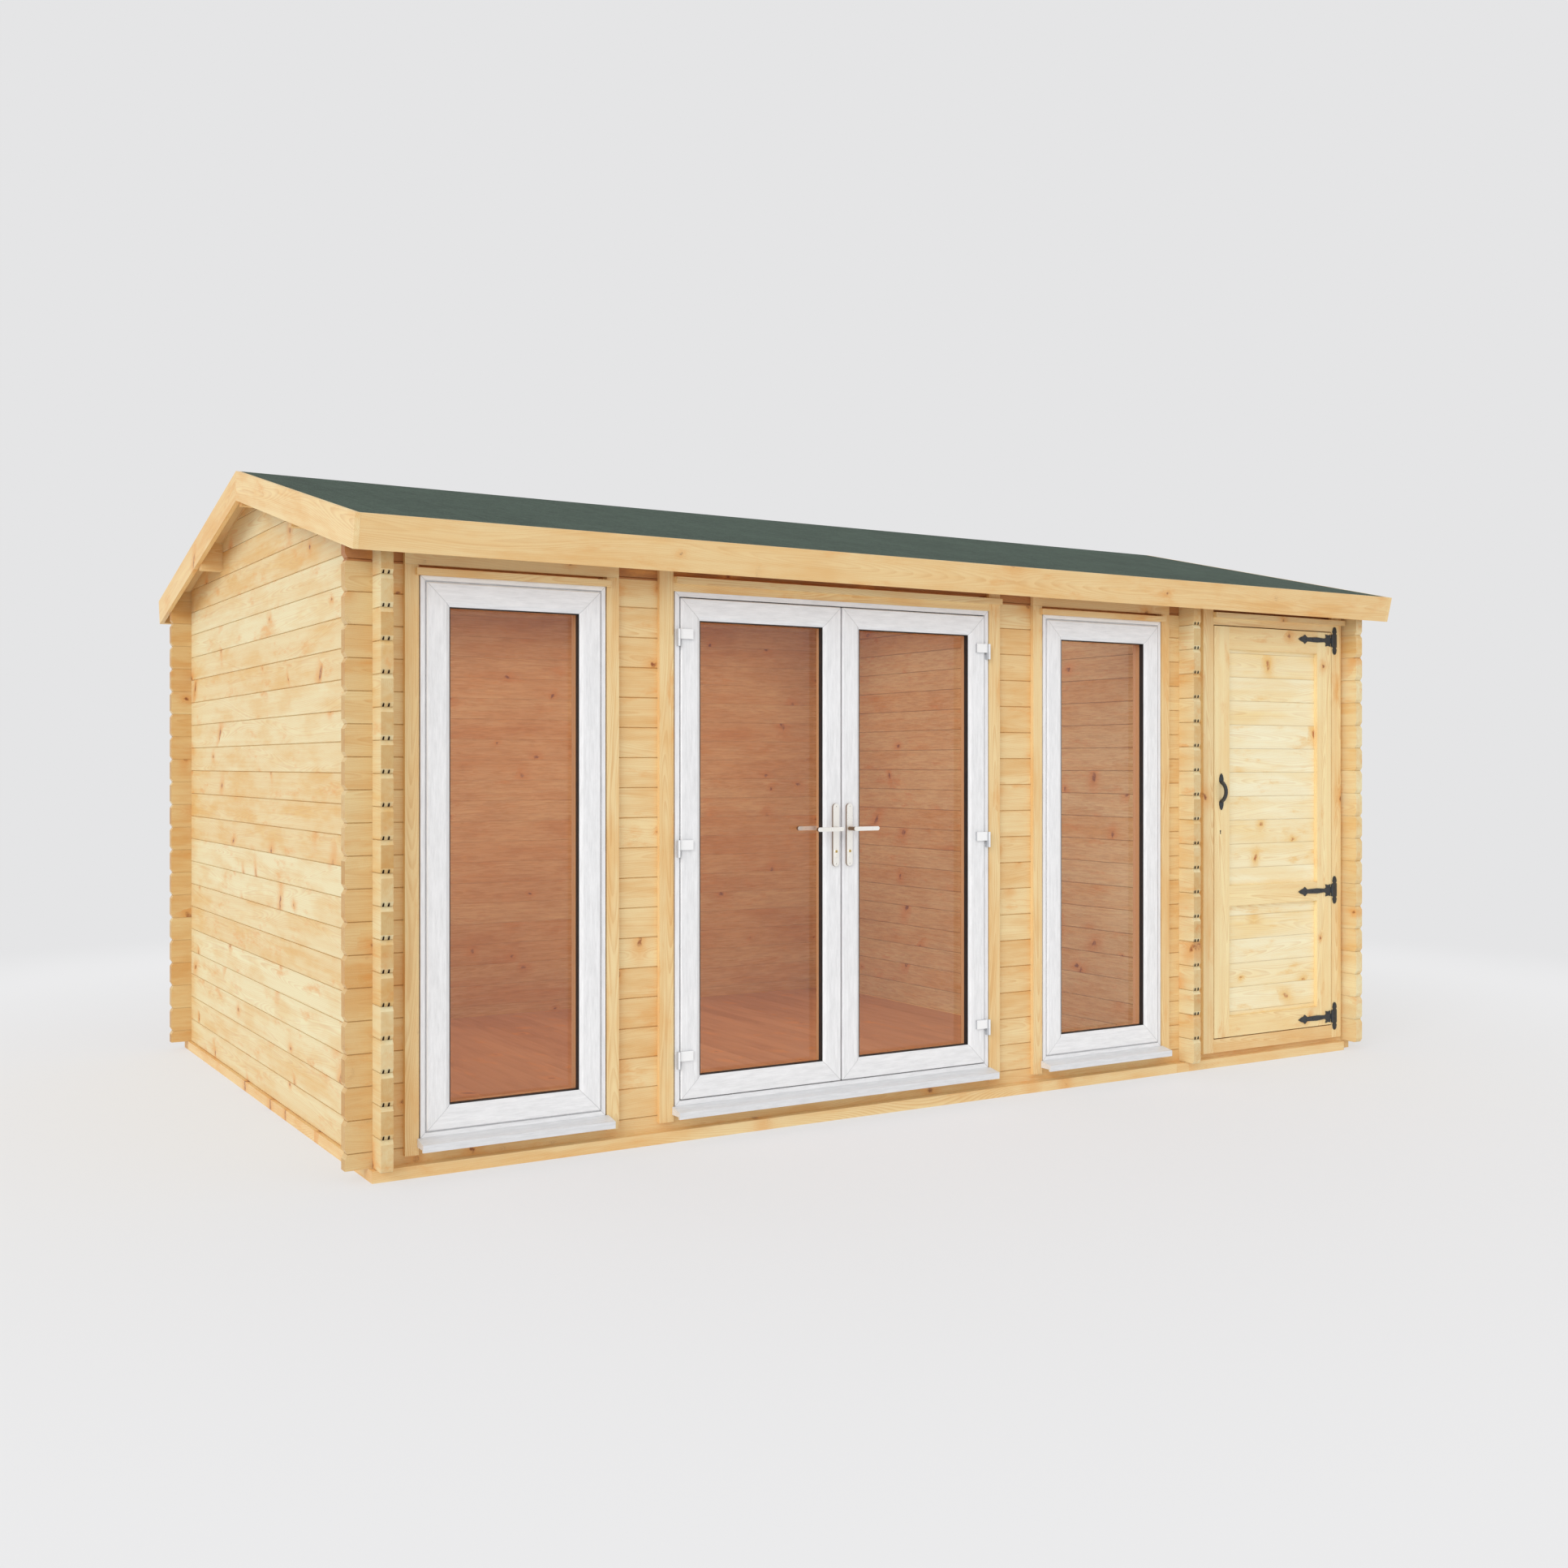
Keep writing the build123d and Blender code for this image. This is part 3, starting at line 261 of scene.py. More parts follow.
class StageSettings(bpy.types.PropertyGroup):
    """Floor, lamps and camera."""

    backdrop: colour("Backdrop", "Studio wall", 229, 229, 230)
    floor: colour("Floor", "Glow of the studio floor near the cabin", 238, 238, 239)
    floor_paint: colour("Floor Paint", "Paint of the studio floor, which takes the shadows", 236, 236, 237)
    floor_radius: length("Floor Radius", "Reach of the floor", 60.0)
    floor_near: length("Near Floor", "Radius inside which the lamps light the floor most", 2.5)
    floor_middle: length("Middle Floor", "Radius where the floor starts to turn into the backdrop", 5.2)
    floor_far: length("Far Floor", "Radius where the floor has the backdrop's tone", 7.4)
    ambient: amount("Ambient", "Strength of the light from all round", 0.72)
    key_power: amount("Key Light", "Strength of the soft sun", 1.1)
    key_from: triple("Key Direction", "Where the soft sun stands", (-0.9, -0.55, 0.45), "XYZ")
    key_spread: angle("Key Spread", "Width of the soft sun", 40)
    room_power: amount("Room Light", "Power of the wide lamp inside in watts", 25.0)
    room_tint: triple("Room Light Colour", "Colour of the lamps inside", (1.0, 0.75, 0.62), "COLOR")
    room_lamp_depth: length("Room Lamp Depth", "Size of the lamps inside from front to back", 2.2)
    room_lamp_height: length("Room Lamp Height", "Height of the lamps inside", 2.25)
    lens: amount("Lens", "Focal length in millimetres", 36.93)
    sensor: amount("Sensor", "Width of the camera's sensor in millimetres", 36.0)
    camera_shift: amount("Shift", "Upward shift of the picture", -0.01227)
    camera_place: triple("Camera", "Place of the camera", (-4.213, -7.025, 1.441), "TRANSLATION")
    camera_turn: angle("Turn", "Turn of the camera to the right", 31.49)


class Tree:
    """Adds nodes to a node tree and links them as it goes."""

    def __init__(self, tree):
        self.nodes = tree.nodes
        self.links = tree.links

    def feed(self, node, inputs):
        """Set each input of a node to a value or an opaque colour, or link it to a socket."""
        for key, value in inputs.items():
            socket = node.inputs[key]
            if isinstance(value, bpy.types.NodeSocket):
                self.links.new(value, socket)
            else:
                socket.default_value = (*value, 1.0) if socket.type == "RGBA" else value
        return node

    def add(self, kind, inputs=None, **settings):
        """Place a shader node with its settings and inputs."""
        node = self.nodes.new("ShaderNode" + kind)
        node.location = (len(self.nodes) * 180.0, 0.0)
        for name, value in settings.items():
            setattr(node, name, value)
        return self.feed(node, inputs or {})

    def calc(self, operation, *values, clamp=False):
        """Result of a sum on numbers."""
        return self.add("Math", dict(enumerate(values)), operation=operation, use_clamp=clamp).outputs[0]

    def times(self, first, second):
        """Product of two numbers."""
        return self.calc("MULTIPLY", first, second)

    def weighted(self, *pairs):
        """Sum of values, each times its weight."""
        total = 0.0
        for value, weight in pairs:
            total = self.calc("MULTIPLY_ADD", value, weight, total)
        return total

    def hypotenuse(self, across, up):
        """Distance from two offsets square to each other."""
        return self.calc("SQRT", self.calc("ADD", self.times(across, across), self.times(up, up)))

    def step(self, value, low, high, foot=0.0, head=1.0):
        """Soft step from foot to head as a value goes from low to high."""
        inputs = {"Value": value, "From Min": low, "From Max": high, "To Min": foot, "To Max": head}
        return self.add("MapRange", inputs, interpolation_type="SMOOTHSTEP").outputs[0]

    def mix(self, factor, low, high, blend="MIX"):
        """Blend of two colours."""
        return self.add("Mix", {0: factor, 6: low, 7: high}, data_type="RGBA", blend_type=blend).outputs[2]

    def brighten(self, tone, value):
        """Colour made brighter or darker by a value about 1."""
        return self.add("HueSaturation", {"Value": value, "Color": tone}).outputs[0]

    def split(self, vector):
        """Three numbers of a vector or colour."""
        return self.add("SeparateXYZ", {0: vector}).outputs

    def join(self, x, y, z):
        """Vector from three numbers."""
        return self.add("CombineXYZ", {0: x, 1: y, 2: z}).outputs[0]

    def stretch(self, vector, scale):
        """Vector times a scale on each axis."""
        return self.add("VectorMath", {0: vector, 1: scale}, operation="MULTIPLY").outputs[0]

    def moved(self, place, way, scale):
        """Place moved by another vector times a scale."""
        return self.add("VectorMath", {0: way, 1: scale, 2: place}, operation="MULTIPLY_ADD").outputs[0]

    def noise(self, vector, scale, detail, roughness=0.5):
        """Cloudy value about 0.5."""
        inputs = {"Vector": vector, "Scale": scale, "Detail": detail, "Roughness": roughness}
        return self.add("TexNoise", inputs).outputs["Fac"]

    def grain(self, place, rates, detail, roughness=0.5):
        """Cloudy value with its own rate of change on each axis."""
        return self.noise(self.stretch(place, rates), 1.0, detail, roughness)

    def here(self):
        """Place on the object, in metres."""
        return self.add("TexCoord").outputs["Object"]

    def field(self, name):
        """Number or vector stored on the mesh."""
        return self.add("Attribute", attribute_name=name).outputs

    def group(self, tree, inputs):
        """Outputs of a node group placed with its own values."""
        return self.add("Group", inputs, node_tree=tree).outputs


class Finish(Tree):
    """Material being made, with its Principled shader."""

    def __init__(self, name):
        self.material = bpy.data.materials.new(name)
        self.material.use_nodes = True
        super().__init__(self.material.node_tree)
        self.shader = self.nodes["Principled BSDF"]

    def coat(self, inputs, height=None, relief=0.0):
        """Feed the shader, with a relief that swings by some metres over the height's full range."""
        self.feed(self.shader, inputs)
        if relief:
            bump = self.add("Bump", {"Height": height, "Distance": relief})
            self.feed(self.shader, {"Normal": bump.outputs[0]})


def node_group(name, takes, gives):
    """Turn a function that fills a node tree into one that returns its node group, made once.

    Names of the sockets that it takes and gives are listed under their kinds.
    """

    def wrap(fill):
        def group():
            if name not in bpy.data.node_groups:
                tree = bpy.data.node_groups.new(name, "ShaderNodeTree")
                for way, kinds in (("INPUT", takes), ("OUTPUT", gives)):
                    for kind, labels in kinds.items():
                        for label in labels:
                            tree.interface.new_socket(label, in_out=way, socket_type="NodeSocket" + kind)
                work = Tree(tree)
                results = fill(work, tree.nodes.new("NodeGroupInput").outputs)
                work.feed(tree.nodes.new("NodeGroupOutput"), results)
            return bpy.data.node_groups[name]

        return group

    return wrap


@node_group(
    "Board Courses",
    {"Vector": ["Place"], "Float": ["Board", "Pitch", "Joint"]},
    {"Vector": ["Place"], "Float": ["Board", "Joint"]},
)
def courses_group(work, entry):
    """Split a boarded surface into its boards, with a dark joint between neighbours."""
    pitch = entry["Pitch"]
    run, height, depth = work.split(entry["Place"])
    course = work.calc("FLOOR", work.calc("DIVIDE", height, pitch))
    rise = work.calc("SUBTRACT", height, work.times(work.calc("ADD", course, 0.5), pitch))
    edge = work.calc("SUBTRACT", work.times(pitch, 0.5), work.calc("ABSOLUTE", rise))
    return {
        "Place": work.join(run, rise, depth),
        "Board": work.calc("MULTIPLY_ADD", course, COURSE_STEP, entry["Board"]),
        "Joint": work.step(edge, 0.0, entry["Joint"], 1.0, 0.0),
    }


@node_group(
    "Pine",
    {
        "Vector": ["Place"],
        "Float": ["Board", "End Grain", "Ring Spacing", "Figure", "Knots"],
        "Color": ["End Tint", *WOOD_TONES],
    },
    {"Color": ["Color"], "Float": ["Roughness", "Height"]},
)
def pine_group(work, entry):
    """Planed pine: rings cut by the board's faces, fibres, warm patches and knots."""
    run, rise, depth = work.split(entry["Place"])
    dice = work.add("TexWhiteNoise", {"W": entry["Board"]}, noise_dimensions="1D").outputs["Color"]
    luck = work.split(dice)
    own = work.moved(entry["Place"], dice, BOARD_SPREAD)
    waver, patch, blush, streak, fibre = (work.grain(own, *grain) for grain in PINE_GRAINS.values())

    # Knots: a few cells of the board each hold one, aslant, and some are drawn out across the board
    warp = work.add("TexNoise", {"Vector": own, "Scale": KNOT_WARP_RATE, "Detail": 3.0, "Roughness": 0.65}).outputs
    flat = work.stretch(work.moved(own, warp["Color"], KNOT_WARP), KNOT_LENGTHEN)
    cells = work.add("TexVoronoi", {"Vector": flat, "Scale": KNOT_RATE}, voronoi_dimensions="2D").outputs
    cell_luck = work.split(cells["Color"])
    chosen = work.calc("LESS_THAN", cell_luck[0], entry["Knots"])
    arm = work.add("VectorMath", {0: flat, 1: cells["Position"]}, operation="SUBTRACT").outputs[0]
    aside, above, _ = work.split(arm)
    slant = work.calc("SUBTRACT", cell_luck[2], 0.5)
    aside = work.calc("MULTIPLY_ADD", above, slant, aside)
    above = work.times(above, work.step(cell_luck[1], 0.25, 0.95, 1.15, 0.36))
    radius = work.calc("MULTIPLY_ADD", cell_luck[2], KNOT_SPREAD, KNOT_RADIUS)
    reach = work.calc("DIVIDE", work.hypotenuse(aside, above), radius)
    knot = work.times(work.step(reach, 1.5, 0.5), chosen)
    knot = work.times(knot, work.step(warp["Fac"], 0.36, 0.56, 0.25, 1.0))
    falloff = work.times(work.times(reach, reach), HALO_FALL)
    halo = work.times(work.calc("EXPONENT", falloff), chosen)

    # Rings round a heart that wanders behind the face
    shift = work.times(luck[0], BOARD_SPREAD[0])
    wander = work.add(
        "TexNoise",
        {"W": work.calc("MULTIPLY_ADD", run, HEART_RATE, shift), "Scale": 1.0, "Detail": 1.0},
        noise_dimensions="1D",
    ).outputs["Color"]
    heart = work.split(wander)
    across = work.calc("SUBTRACT", rise, work.calc("MULTIPLY_ADD", heart[0], *HEART_SWAY))
    behind = work.calc("ADD", depth, work.calc("MULTIPLY_ADD", heart[1], *HEART_DEPTH))
    ring = work.weighted((work.hypotenuse(across, behind), 1.0), (waver, RING_WAVER), (halo, RING_BULGE))
    phase = work.calc("FRACT", work.calc("DIVIDE", ring, entry["Ring Spacing"]))
    late = work.times(work.step(phase, 0.25, 0.9), work.step(phase, 1.0, 0.93))

    # Colour, from broad patches down to fibres
    warmth = work.weighted((luck[2], 0.5), (work.step(patch, 0.4, 0.7), 0.5), (streak, 0.55), (fibre, 0.3))
    wood = work.mix(work.calc("SUBTRACT", warmth, 0.44, clamp=True), entry["Pale"], entry["Warm"])
    lined = work.times(entry["Figure"], work.step(streak, 0.25, 0.75, 0.3, 1.0))
    wood = work.mix(work.times(late, lined), wood, entry["Latewood"])
    wood = work.mix(work.step(blush, 0.55, 0.74, 0.0, 0.65), wood, entry["Blush"])
    wood = work.mix(work.times(halo, 0.75), wood, entry["Blush"])
    wood = work.mix(work.times(knot, 0.85), wood, entry["Knot"])
    # End tint: on log ends a darker, warmer tone of the end grain; on board ends a paler tone that is painted
    # highlight
    end_grain_and_highlight = work.times(entry["End Grain"], work.step(luck[1], 0.0, 1.0, 0.35, 1.0))
    return {
        "Color": work.mix(end_grain_and_highlight, wood, entry["End Tint"], "MULTIPLY"),
        "Roughness": work.weighted((late, -0.06), (fibre, 0.16), (knot, -0.12), (1.0, 0.46)),
        "Height": work.weighted((late, 0.35), (fibre, 0.5), (knot, 0.6)),
    }


@node_group("Room Painted Shade", {"Vector": ["Place"]}, {"Float": ["Mask"]})
def room_shade_group(work, entry):
    """Mask of the surfaces inside the rooms: painted shade in broad patches, with dark streaks of grain."""
    x, y, _ = work.split(work.here())
    mask = 1.0
    (start, end), (_, store_end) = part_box("main_floor"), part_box("store_floor")
    for value, low, high in ((x, start.x, store_end.x), (y, start.y, end.y)):
        mask = work.times(mask, work.calc("GREATER_THAN", value, low - ROOM_MARGIN))
        mask = work.times(mask, work.calc("LESS_THAN", value, high + ROOM_MARGIN))
    patch = work.grain(entry["Place"], SHADE_PATCH_RATE, 4.0, 0.6)
    streak = work.grain(entry["Place"], ROOM_STREAK_RATE, 5.0, 0.8)
    shade_and_streaks = work.weighted((work.step(patch, 0.35, 0.65), 0.4), (work.step(streak, 0.42, 0.6), 0.6))
    return {"Mask": work.times(mask, shade_and_streaks)}


@node_group(
    "Mottle",
    {"Vector": ["Place"], "Float": ["Size", "Spread", "Sheen"], "Color": ["Tone"]},
    {"Color": ["Color"], "Float": ["Roughness", "Height"]},
)
def mottle_group(work, entry):
    """Small uneven patches of sheen and height on a cast, coated or moulded surface."""
    scale = work.calc("DIVIDE", 1.0, entry["Size"])
    fine = work.noise(entry["Place"], scale, 3.0)
    broad = work.noise(entry["Place"], work.times(scale, 0.06), 3.0)
    value = work.weighted((fine, 0.6), (broad, 0.4))
    swing = work.times(work.calc("SUBTRACT", value, 0.5), entry["Spread"])
    return {
        "Color": work.brighten(entry["Tone"], work.calc("ADD", 1.0, swing)),
        "Roughness": work.weighted((value, 0.2), (entry["Sheen"], 1.0), (1.0, -0.1)),
        "Height": fine,
    }


def wood_tone(tones, part):
    """Tone of a wood's part: its own, or else the one that all the timber shares."""
    timber = bpy.context.scene.cabin_timber
    own = tones + "_" + part
    return getattr(timber, own if hasattr(timber, own) else part)


def pine_finish(name, tones, spacing=0.0048, figure=0.5, knots=0.2, pitch=0.0, joint=LOG_JOINT, ends=LOG_END_TINT,
                corner=0.0, rooms=False):
    """Pine for boards laid out by lay_boards or lay_courses.

    A pitch splits a wide face into boards. Past a corner, the ends of the logs that cross it get a little painted
    shade, and inside the rooms the logs get painted shade in patches, with dark streaks of grain.
    """
    timber = bpy.context.scene.cabin_timber
    finish = Finish(name)
    place = finish.field("board_place")["Vector"]
    board = finish.field("board_number")["Fac"]
    if rooms:
        room_shade_and_streaks = finish.group(room_shade_group(), {"Place": place})["Mask"]
    if pitch:
        courses = finish.group(courses_group(), {"Place": place, "Board": board, "Pitch": pitch, "Joint": joint})
        place, board, gap = courses["Place"], courses["Board"], courses["Joint"]
    pine = finish.group(
        pine_group(),
        {
            "Place": place,
            "Board": board,
            "End Grain": finish.field("end_grain")["Fac"],
            "Ring Spacing": spacing,
            "Figure": figure,
            "Knots": knots,
            "End Tint": ends,
            **{label: wood_tone(tones, label.lower()) for label in WOOD_TONES},
        },
    )
    wood, height = pine["Color"], pine["Height"]
    if rooms:
        # Painted shade in patches inside the rooms, with dark streaks of grain
        wood = finish.mix(room_shade_and_streaks, wood, timber.room_shade, "MULTIPLY")
    if pitch:
        shade = [JOINT_TINT * part for part in timber.latewood]
        wood = finish.mix(finish.times(gap, 0.3), wood, shade)
        height = finish.weighted((height, 1.0), (gap, GAP_DEPTH))
    if corner:
        # Painted shade on the log ends past the corner
        run = finish.split(place)[0]
        past = finish.calc("GREATER_THAN", finish.calc("ABSOLUTE", run), corner)
        wood = finish.mix(past, wood, STUB_PAINTED_SHADE, "MULTIPLY")
    finish.coat(
        {"Base Color": wood, "Roughness": pine["Roughness"], "Specular IOR Level": 0.35}, height, PINE_RELIEF
    )
    return finish.material


def mottled_finish(name, tone, size, spread=0.1, sheen=0.5, relief=0.0, painted_side_shade=None, brushed=1.0, **values):
    """Cast, coated or moulded finish, with painted shade in another tone on the side faces marked on the mesh."""
    finish = Finish(name)
    mottle = finish.group(
        mottle_group(),
        {
            "Place": finish.stretch(finish.here(), (1.0, 1.0, brushed)),
            "Size": size,
            "Tone": tone,
            "Spread": spread,
            "Sheen": sheen,
        },
    )
    shown = mottle["Color"]
    if painted_side_shade:
        shown = finish.mix(finish.field("painted_side_shade")["Fac"], shown, painted_side_shade)
    finish.coat({"Base Color": shown, "Roughness": mottle["Roughness"], **values}, mottle["Height"], relief)
    return finish.material


def foiled_finish(name, plastic, behind_glass, mitre_line):
    """Plastic with a wood grain foil and mitre lines, and another tone on the faces seen behind glass."""
    finish = Finish(name)
    place = finish.field("board_place")["Vector"]
    cloud = finish.grain(place, (12.0, 90.0, 90.0), 4.0, 0.7)
    line = finish.grain(place, (9.0, 420.0, 420.0), 3.0, 0.6)
    near, far, depth = finish.split(finish.field("mitre_gap")["Vector"])
    seam = finish.step(finish.calc("MINIMUM", near, far), 0.0, mitre_line, 0.7, 1.0)
    value = finish.times(finish.weighted((cloud, 0.42), (line, 0.16), (1.0, 0.71)), seam)
    reveal = finish.times(finish.field("reveal")["Fac"], finish.calc("GREATER_THAN", depth, -0.0005))
    tone = finish.mix(reveal, finish.brighten(plastic, value), behind_glass)
    finish.coat({"Base Color": tone, "Roughness": finish.weighted((line, 0.25), (1.0, 0.28))}, line, 0.00012)
    return finish.material


def store_field(mesh, name, kind, domain, values):
    """Keep a value on each vertex or face of a mesh, for its material to read."""
    layer = mesh.attributes.new(name, kind, domain)
    layer.data.foreach_set("vector" if kind == "FLOAT_VECTOR" else "value", np.ravel(values).astype(np.float32))


def mesh_arrays(mesh):
    """Vertex places, triangle corners and face normals of a mesh."""
    arrays = []
    for items, field, count, kind in (
        (mesh.vertices, "co", 3, np.float32),
        (mesh.loops, "vertex_index", 1, np.int32),
        (mesh.polygons, "normal", 3, np.float32),
    ):
        values = np.empty(len(items) * count, kind)
        items.foreach_get(field, values)
        arrays.append(values.reshape(-1, 3))
    return arrays


def solid_numbers(places, triangles):
    """Number of the separate solid that each vertex belongs to."""
    _, same = np.unique(np.round(places, 5), axis=0, return_inverse=True)
    same = same.ravel()
    label = np.arange(same.max() + 1)
    faces = same[triangles]
    settled = False
    while not settled:
        lowest = label.copy()
        np.minimum.at(lowest, faces.ravel(), np.repeat(label[faces].min(axis=1), 3))
        lowest = lowest[lowest]
        settled = np.array_equal(lowest, label)
        label = lowest
    _, number = np.unique(label[same], return_inverse=True)
    return number.ravel()


def each_solid(solids, triangles):
    """Which vertices and which faces belong to each separate solid."""
    for number in range(solids.max() + 1):
        chosen = solids == number
        yield chosen, chosen[triangles[:, 0]]


def laid_flat(vectors, side, slope):
    """Turn vectors of a roof slope into its own axes: across the slope, down it and square to it."""
    x, y, z = vectors.T
    out = side * y
    down = out * math.cos(slope) - z * math.sin(slope)
    up = z * math.cos(slope) + out * math.sin(slope)
    return np.stack([x, down, up], 1)


def own_axes(places, triangles, normals, slope):
    """Places and normals in the axes of their roof slope, or as they are where there is no slope."""
    if not slope:
        return places, normals
    face_side = np.where(places[triangles].mean(axis=1)[:, 1] < 0, -1.0, 1.0)
    vertex_side = np.ones(len(places))
    vertex_side[triangles.ravel()] = np.repeat(face_side, 3)
    return laid_flat(places, vertex_side, slope), laid_flat(normals, face_side, slope)


def store_boards(mesh, own, numbers, end):
    """Store where each point lies on its board, the board's number and the faces that show end grain."""
    store_field(mesh, "board_place", "FLOAT_VECTOR", "POINT", own)
    store_field(mesh, "board_number", "FLOAT", "POINT", numbers)
    store_field(mesh, "end_grain", "FLOAT", "FACE", end)


def lay_boards(name, number, slope=0.0):
    """Store each solid's own run, rise and depth, from its longest side to its shortest."""
    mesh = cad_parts[name].data
    places, triangles, normals = mesh_arrays(mesh)
    solids = solid_numbers(places, triangles)
    places, normals = own_axes(places, triangles, normals, slope)
    own = np.empty_like(places, dtype=np.float64)
    end = np.zeros(len(triangles))
    for chosen, faces in each_solid(solids, triangles):
        low, high = places[chosen].min(axis=0), places[chosen].max(axis=0)
        order = np.argsort(low - high)
        own[chosen] = (places[chosen] - (low + high) / 2)[:, order]
        end[faces] = np.abs(normals[faces, order[0]]) > SQUARE_ON
    store_boards(mesh, own, solids * SOLID_STEP + number * NODE_STEP, end)


def lay_courses(name, number, axes, foot, slope=0.0, ends=1.0):
    """Store places on a face made of boards: axes gives run, height and depth, foot where the courses start."""
    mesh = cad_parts[name].data
    places, triangles, normals = mesh_arrays(mesh)
    places, normals = own_axes(places, triangles, normals, slope)
    run, height, depth = axes
    middle = (places[:, depth].min() + places[:, depth].max()) / 2
    own = np.stack([places[:, run], places[:, height] - foot, places[:, depth] - middle], 1)
    numbers = np.full(len(places), number * NODE_STEP)
    store_boards(mesh, own, numbers, ends * (np.abs(normals[:, run]) > SQUARE_ON))


def lay_mitres(name):
    """Store how far each point of a frame's bars is from the mitres at the bar's ends, and how far behind glass.

    The third number of the mitre gap is the depth behind the front of the glass, and the reveal marks faces that
    look towards the middle of the frame.
    """
    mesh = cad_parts[name].data
    places, triangles, normals = mesh_arrays(mesh)
    gaps = np.ones_like(places)
    gaps[:, 2] = places[:, 1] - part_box(PANES[name])[0].y if name in PANES else -1.0
    inward = np.zeros(len(triangles))
    if name in WINDOW_BARS:
        middle = (places.min(axis=0) + places.max(axis=0)) / 2
        for chosen, faces in each_solid(solid_numbers(places, triangles), triangles):
            own = places[chosen]
            low, high = own.min(axis=0), own.max(axis=0)
            run, rise = (2, 0) if high[2] - low[2] > high[0] - low[0] else (0, 2)
            outward = np.sign((low + high)[rise] / 2 - middle[rise])
            outer = high[rise] if outward > 0 else low[rise]
            inset = np.abs(outer - own[:, rise])
            gaps[chosen, 0] = high[run] - own[:, run] - inset
            gaps[chosen, 1] = own[:, run] - low[run] - inset
            inward[faces] = (normals[:, rise] * outward < -SQUARE_ON)[faces]
    store_field(mesh, "mitre_gap", "FLOAT_VECTOR", "POINT", gaps)
    store_field(mesh, "reveal", "FLOAT", "FACE", inward)


def mark_painted_side_shade(names):
    """Store which faces of a fitting on a door's face are its sides, for painted shade."""
    for name in names:
        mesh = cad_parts[name].data
        store_field(mesh, "painted_side_shade", "FLOAT", "FACE", np.abs(mesh_arrays(mesh)[2][:, 1]) < SQUARE_ON)


def numbered(names, kind):
    """Pairs of a node's name and its own board number."""
    return [(name, FIRST_BOARD[kind] + place) for place, name in enumerate(names)]


def dress(names, material):
    """Give CAD nodes a material."""
    for name in names:
        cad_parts[name].data.materials.clear()
        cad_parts[name].data.materials.append(material)


def new_object(name, data):
    """New object in the scene."""
    item = bpy.data.objects.new(name, data)
    bpy.context.scene.collection.objects.link(item)
    return item


def new_mesh(name, points, faces, materials):
    """New mesh with its materials."""
    mesh = bpy.data.meshes.new(name)
    mesh.from_pydata([tuple(p) for p in points], [], faces)
    for material in materials:
        mesh.materials.append(material)
    return mesh


def add_piece(name, parts, body, materials):
    """Add one object from several (points, faces, material number) parts, riding on a body."""
    points, faces, numbers = [], [], []
    for part_points, part_faces, number in parts:
        start = len(points)
        points += part_points
        faces += [[start + k for k in face] for face in part_faces]
        numbers += [number] * len(part_faces)
    mesh = new_mesh(name, points, faces, materials)
    mesh.polygons.foreach_set("material_index", numbers)
    mesh.validate()
    piece = new_object(name, mesh)
    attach(piece, body)


def facing(place, out):
    """Matrix that lays a flat outline, drawn in its x and y with z outwards, on an upright face."""
    ahead = Vector(out)
    side = Vector((0.0, 0.0, 1.0)).cross(ahead)
    turn = Matrix((side, ahead.cross(side), ahead)).transposed().to_4x4()
    return Matrix.Translation(place) @ turn


def circle(radius, sides):
    """Outline of a circle."""
    turns = (2 * math.pi * k / sides for k in range(sides))
    return [(radius * math.cos(turn), radius * math.sin(turn)) for turn in turns]


def rectangle(width, height, middle=0.0):
    """Outline of a rectangle whose middle is above the origin."""
    x, low, high = width / 2, middle - height / 2, middle + height / 2
    return [(-x, low), (x, low), (x, high), (-x, high)]


def ring_faces(rings, count):
    """Faces between equal rings of points, with the last ring closed."""
    around = [(k, (k + 1) % count) for k in range(count)]
    sides = [
        [ring + here, ring + ahead, ring + count + ahead, ring + count + here]
        for ring in range(0, (rings - 1) * count, count)
        for here, ahead in around
    ]
    return sides + [[(rings - 1) * count + k for k in range(count)]]


def plate(outline, low, high, lay, number=0, bevel=0.0):
    """Flat plate from an outline, with its outer edge drawn in by a bevel."""
    count = len(outline)
    centre = Vector((sum(p[0] for p in outline) / count, sum(p[1] for p in outline) / count))
    rings = [(low, 0.0), (high - bevel, 0.0)] + ([(high, bevel)] if bevel else [])
    points = []
    for height, inset in rings:
        for corner in outline:
            arm = Vector(corner) - centre
            arm *= max(arm.length - inset, 0.0) / arm.length
            points.append(lay @ Vector((centre.x + arm.x, centre.y + arm.y, height)))
    return points, ring_faces(len(rings), count) + [list(reversed(range(count)))], number


def turned(profile, lay, number=0, sides=20):
    """Turned form from (radius, height) points, the last of them on or near the axis."""
    points = [lay @ Vector((x, y, height)) for radius, height in profile for x, y in circle(radius, sides)]
    return points, ring_faces(len(profile), sides), number


def under_roof(y):
    """Height of the roof boards' underside."""
    return APEX - abs(y) * math.tan(bpy.context.scene.cabin_roof.slope)


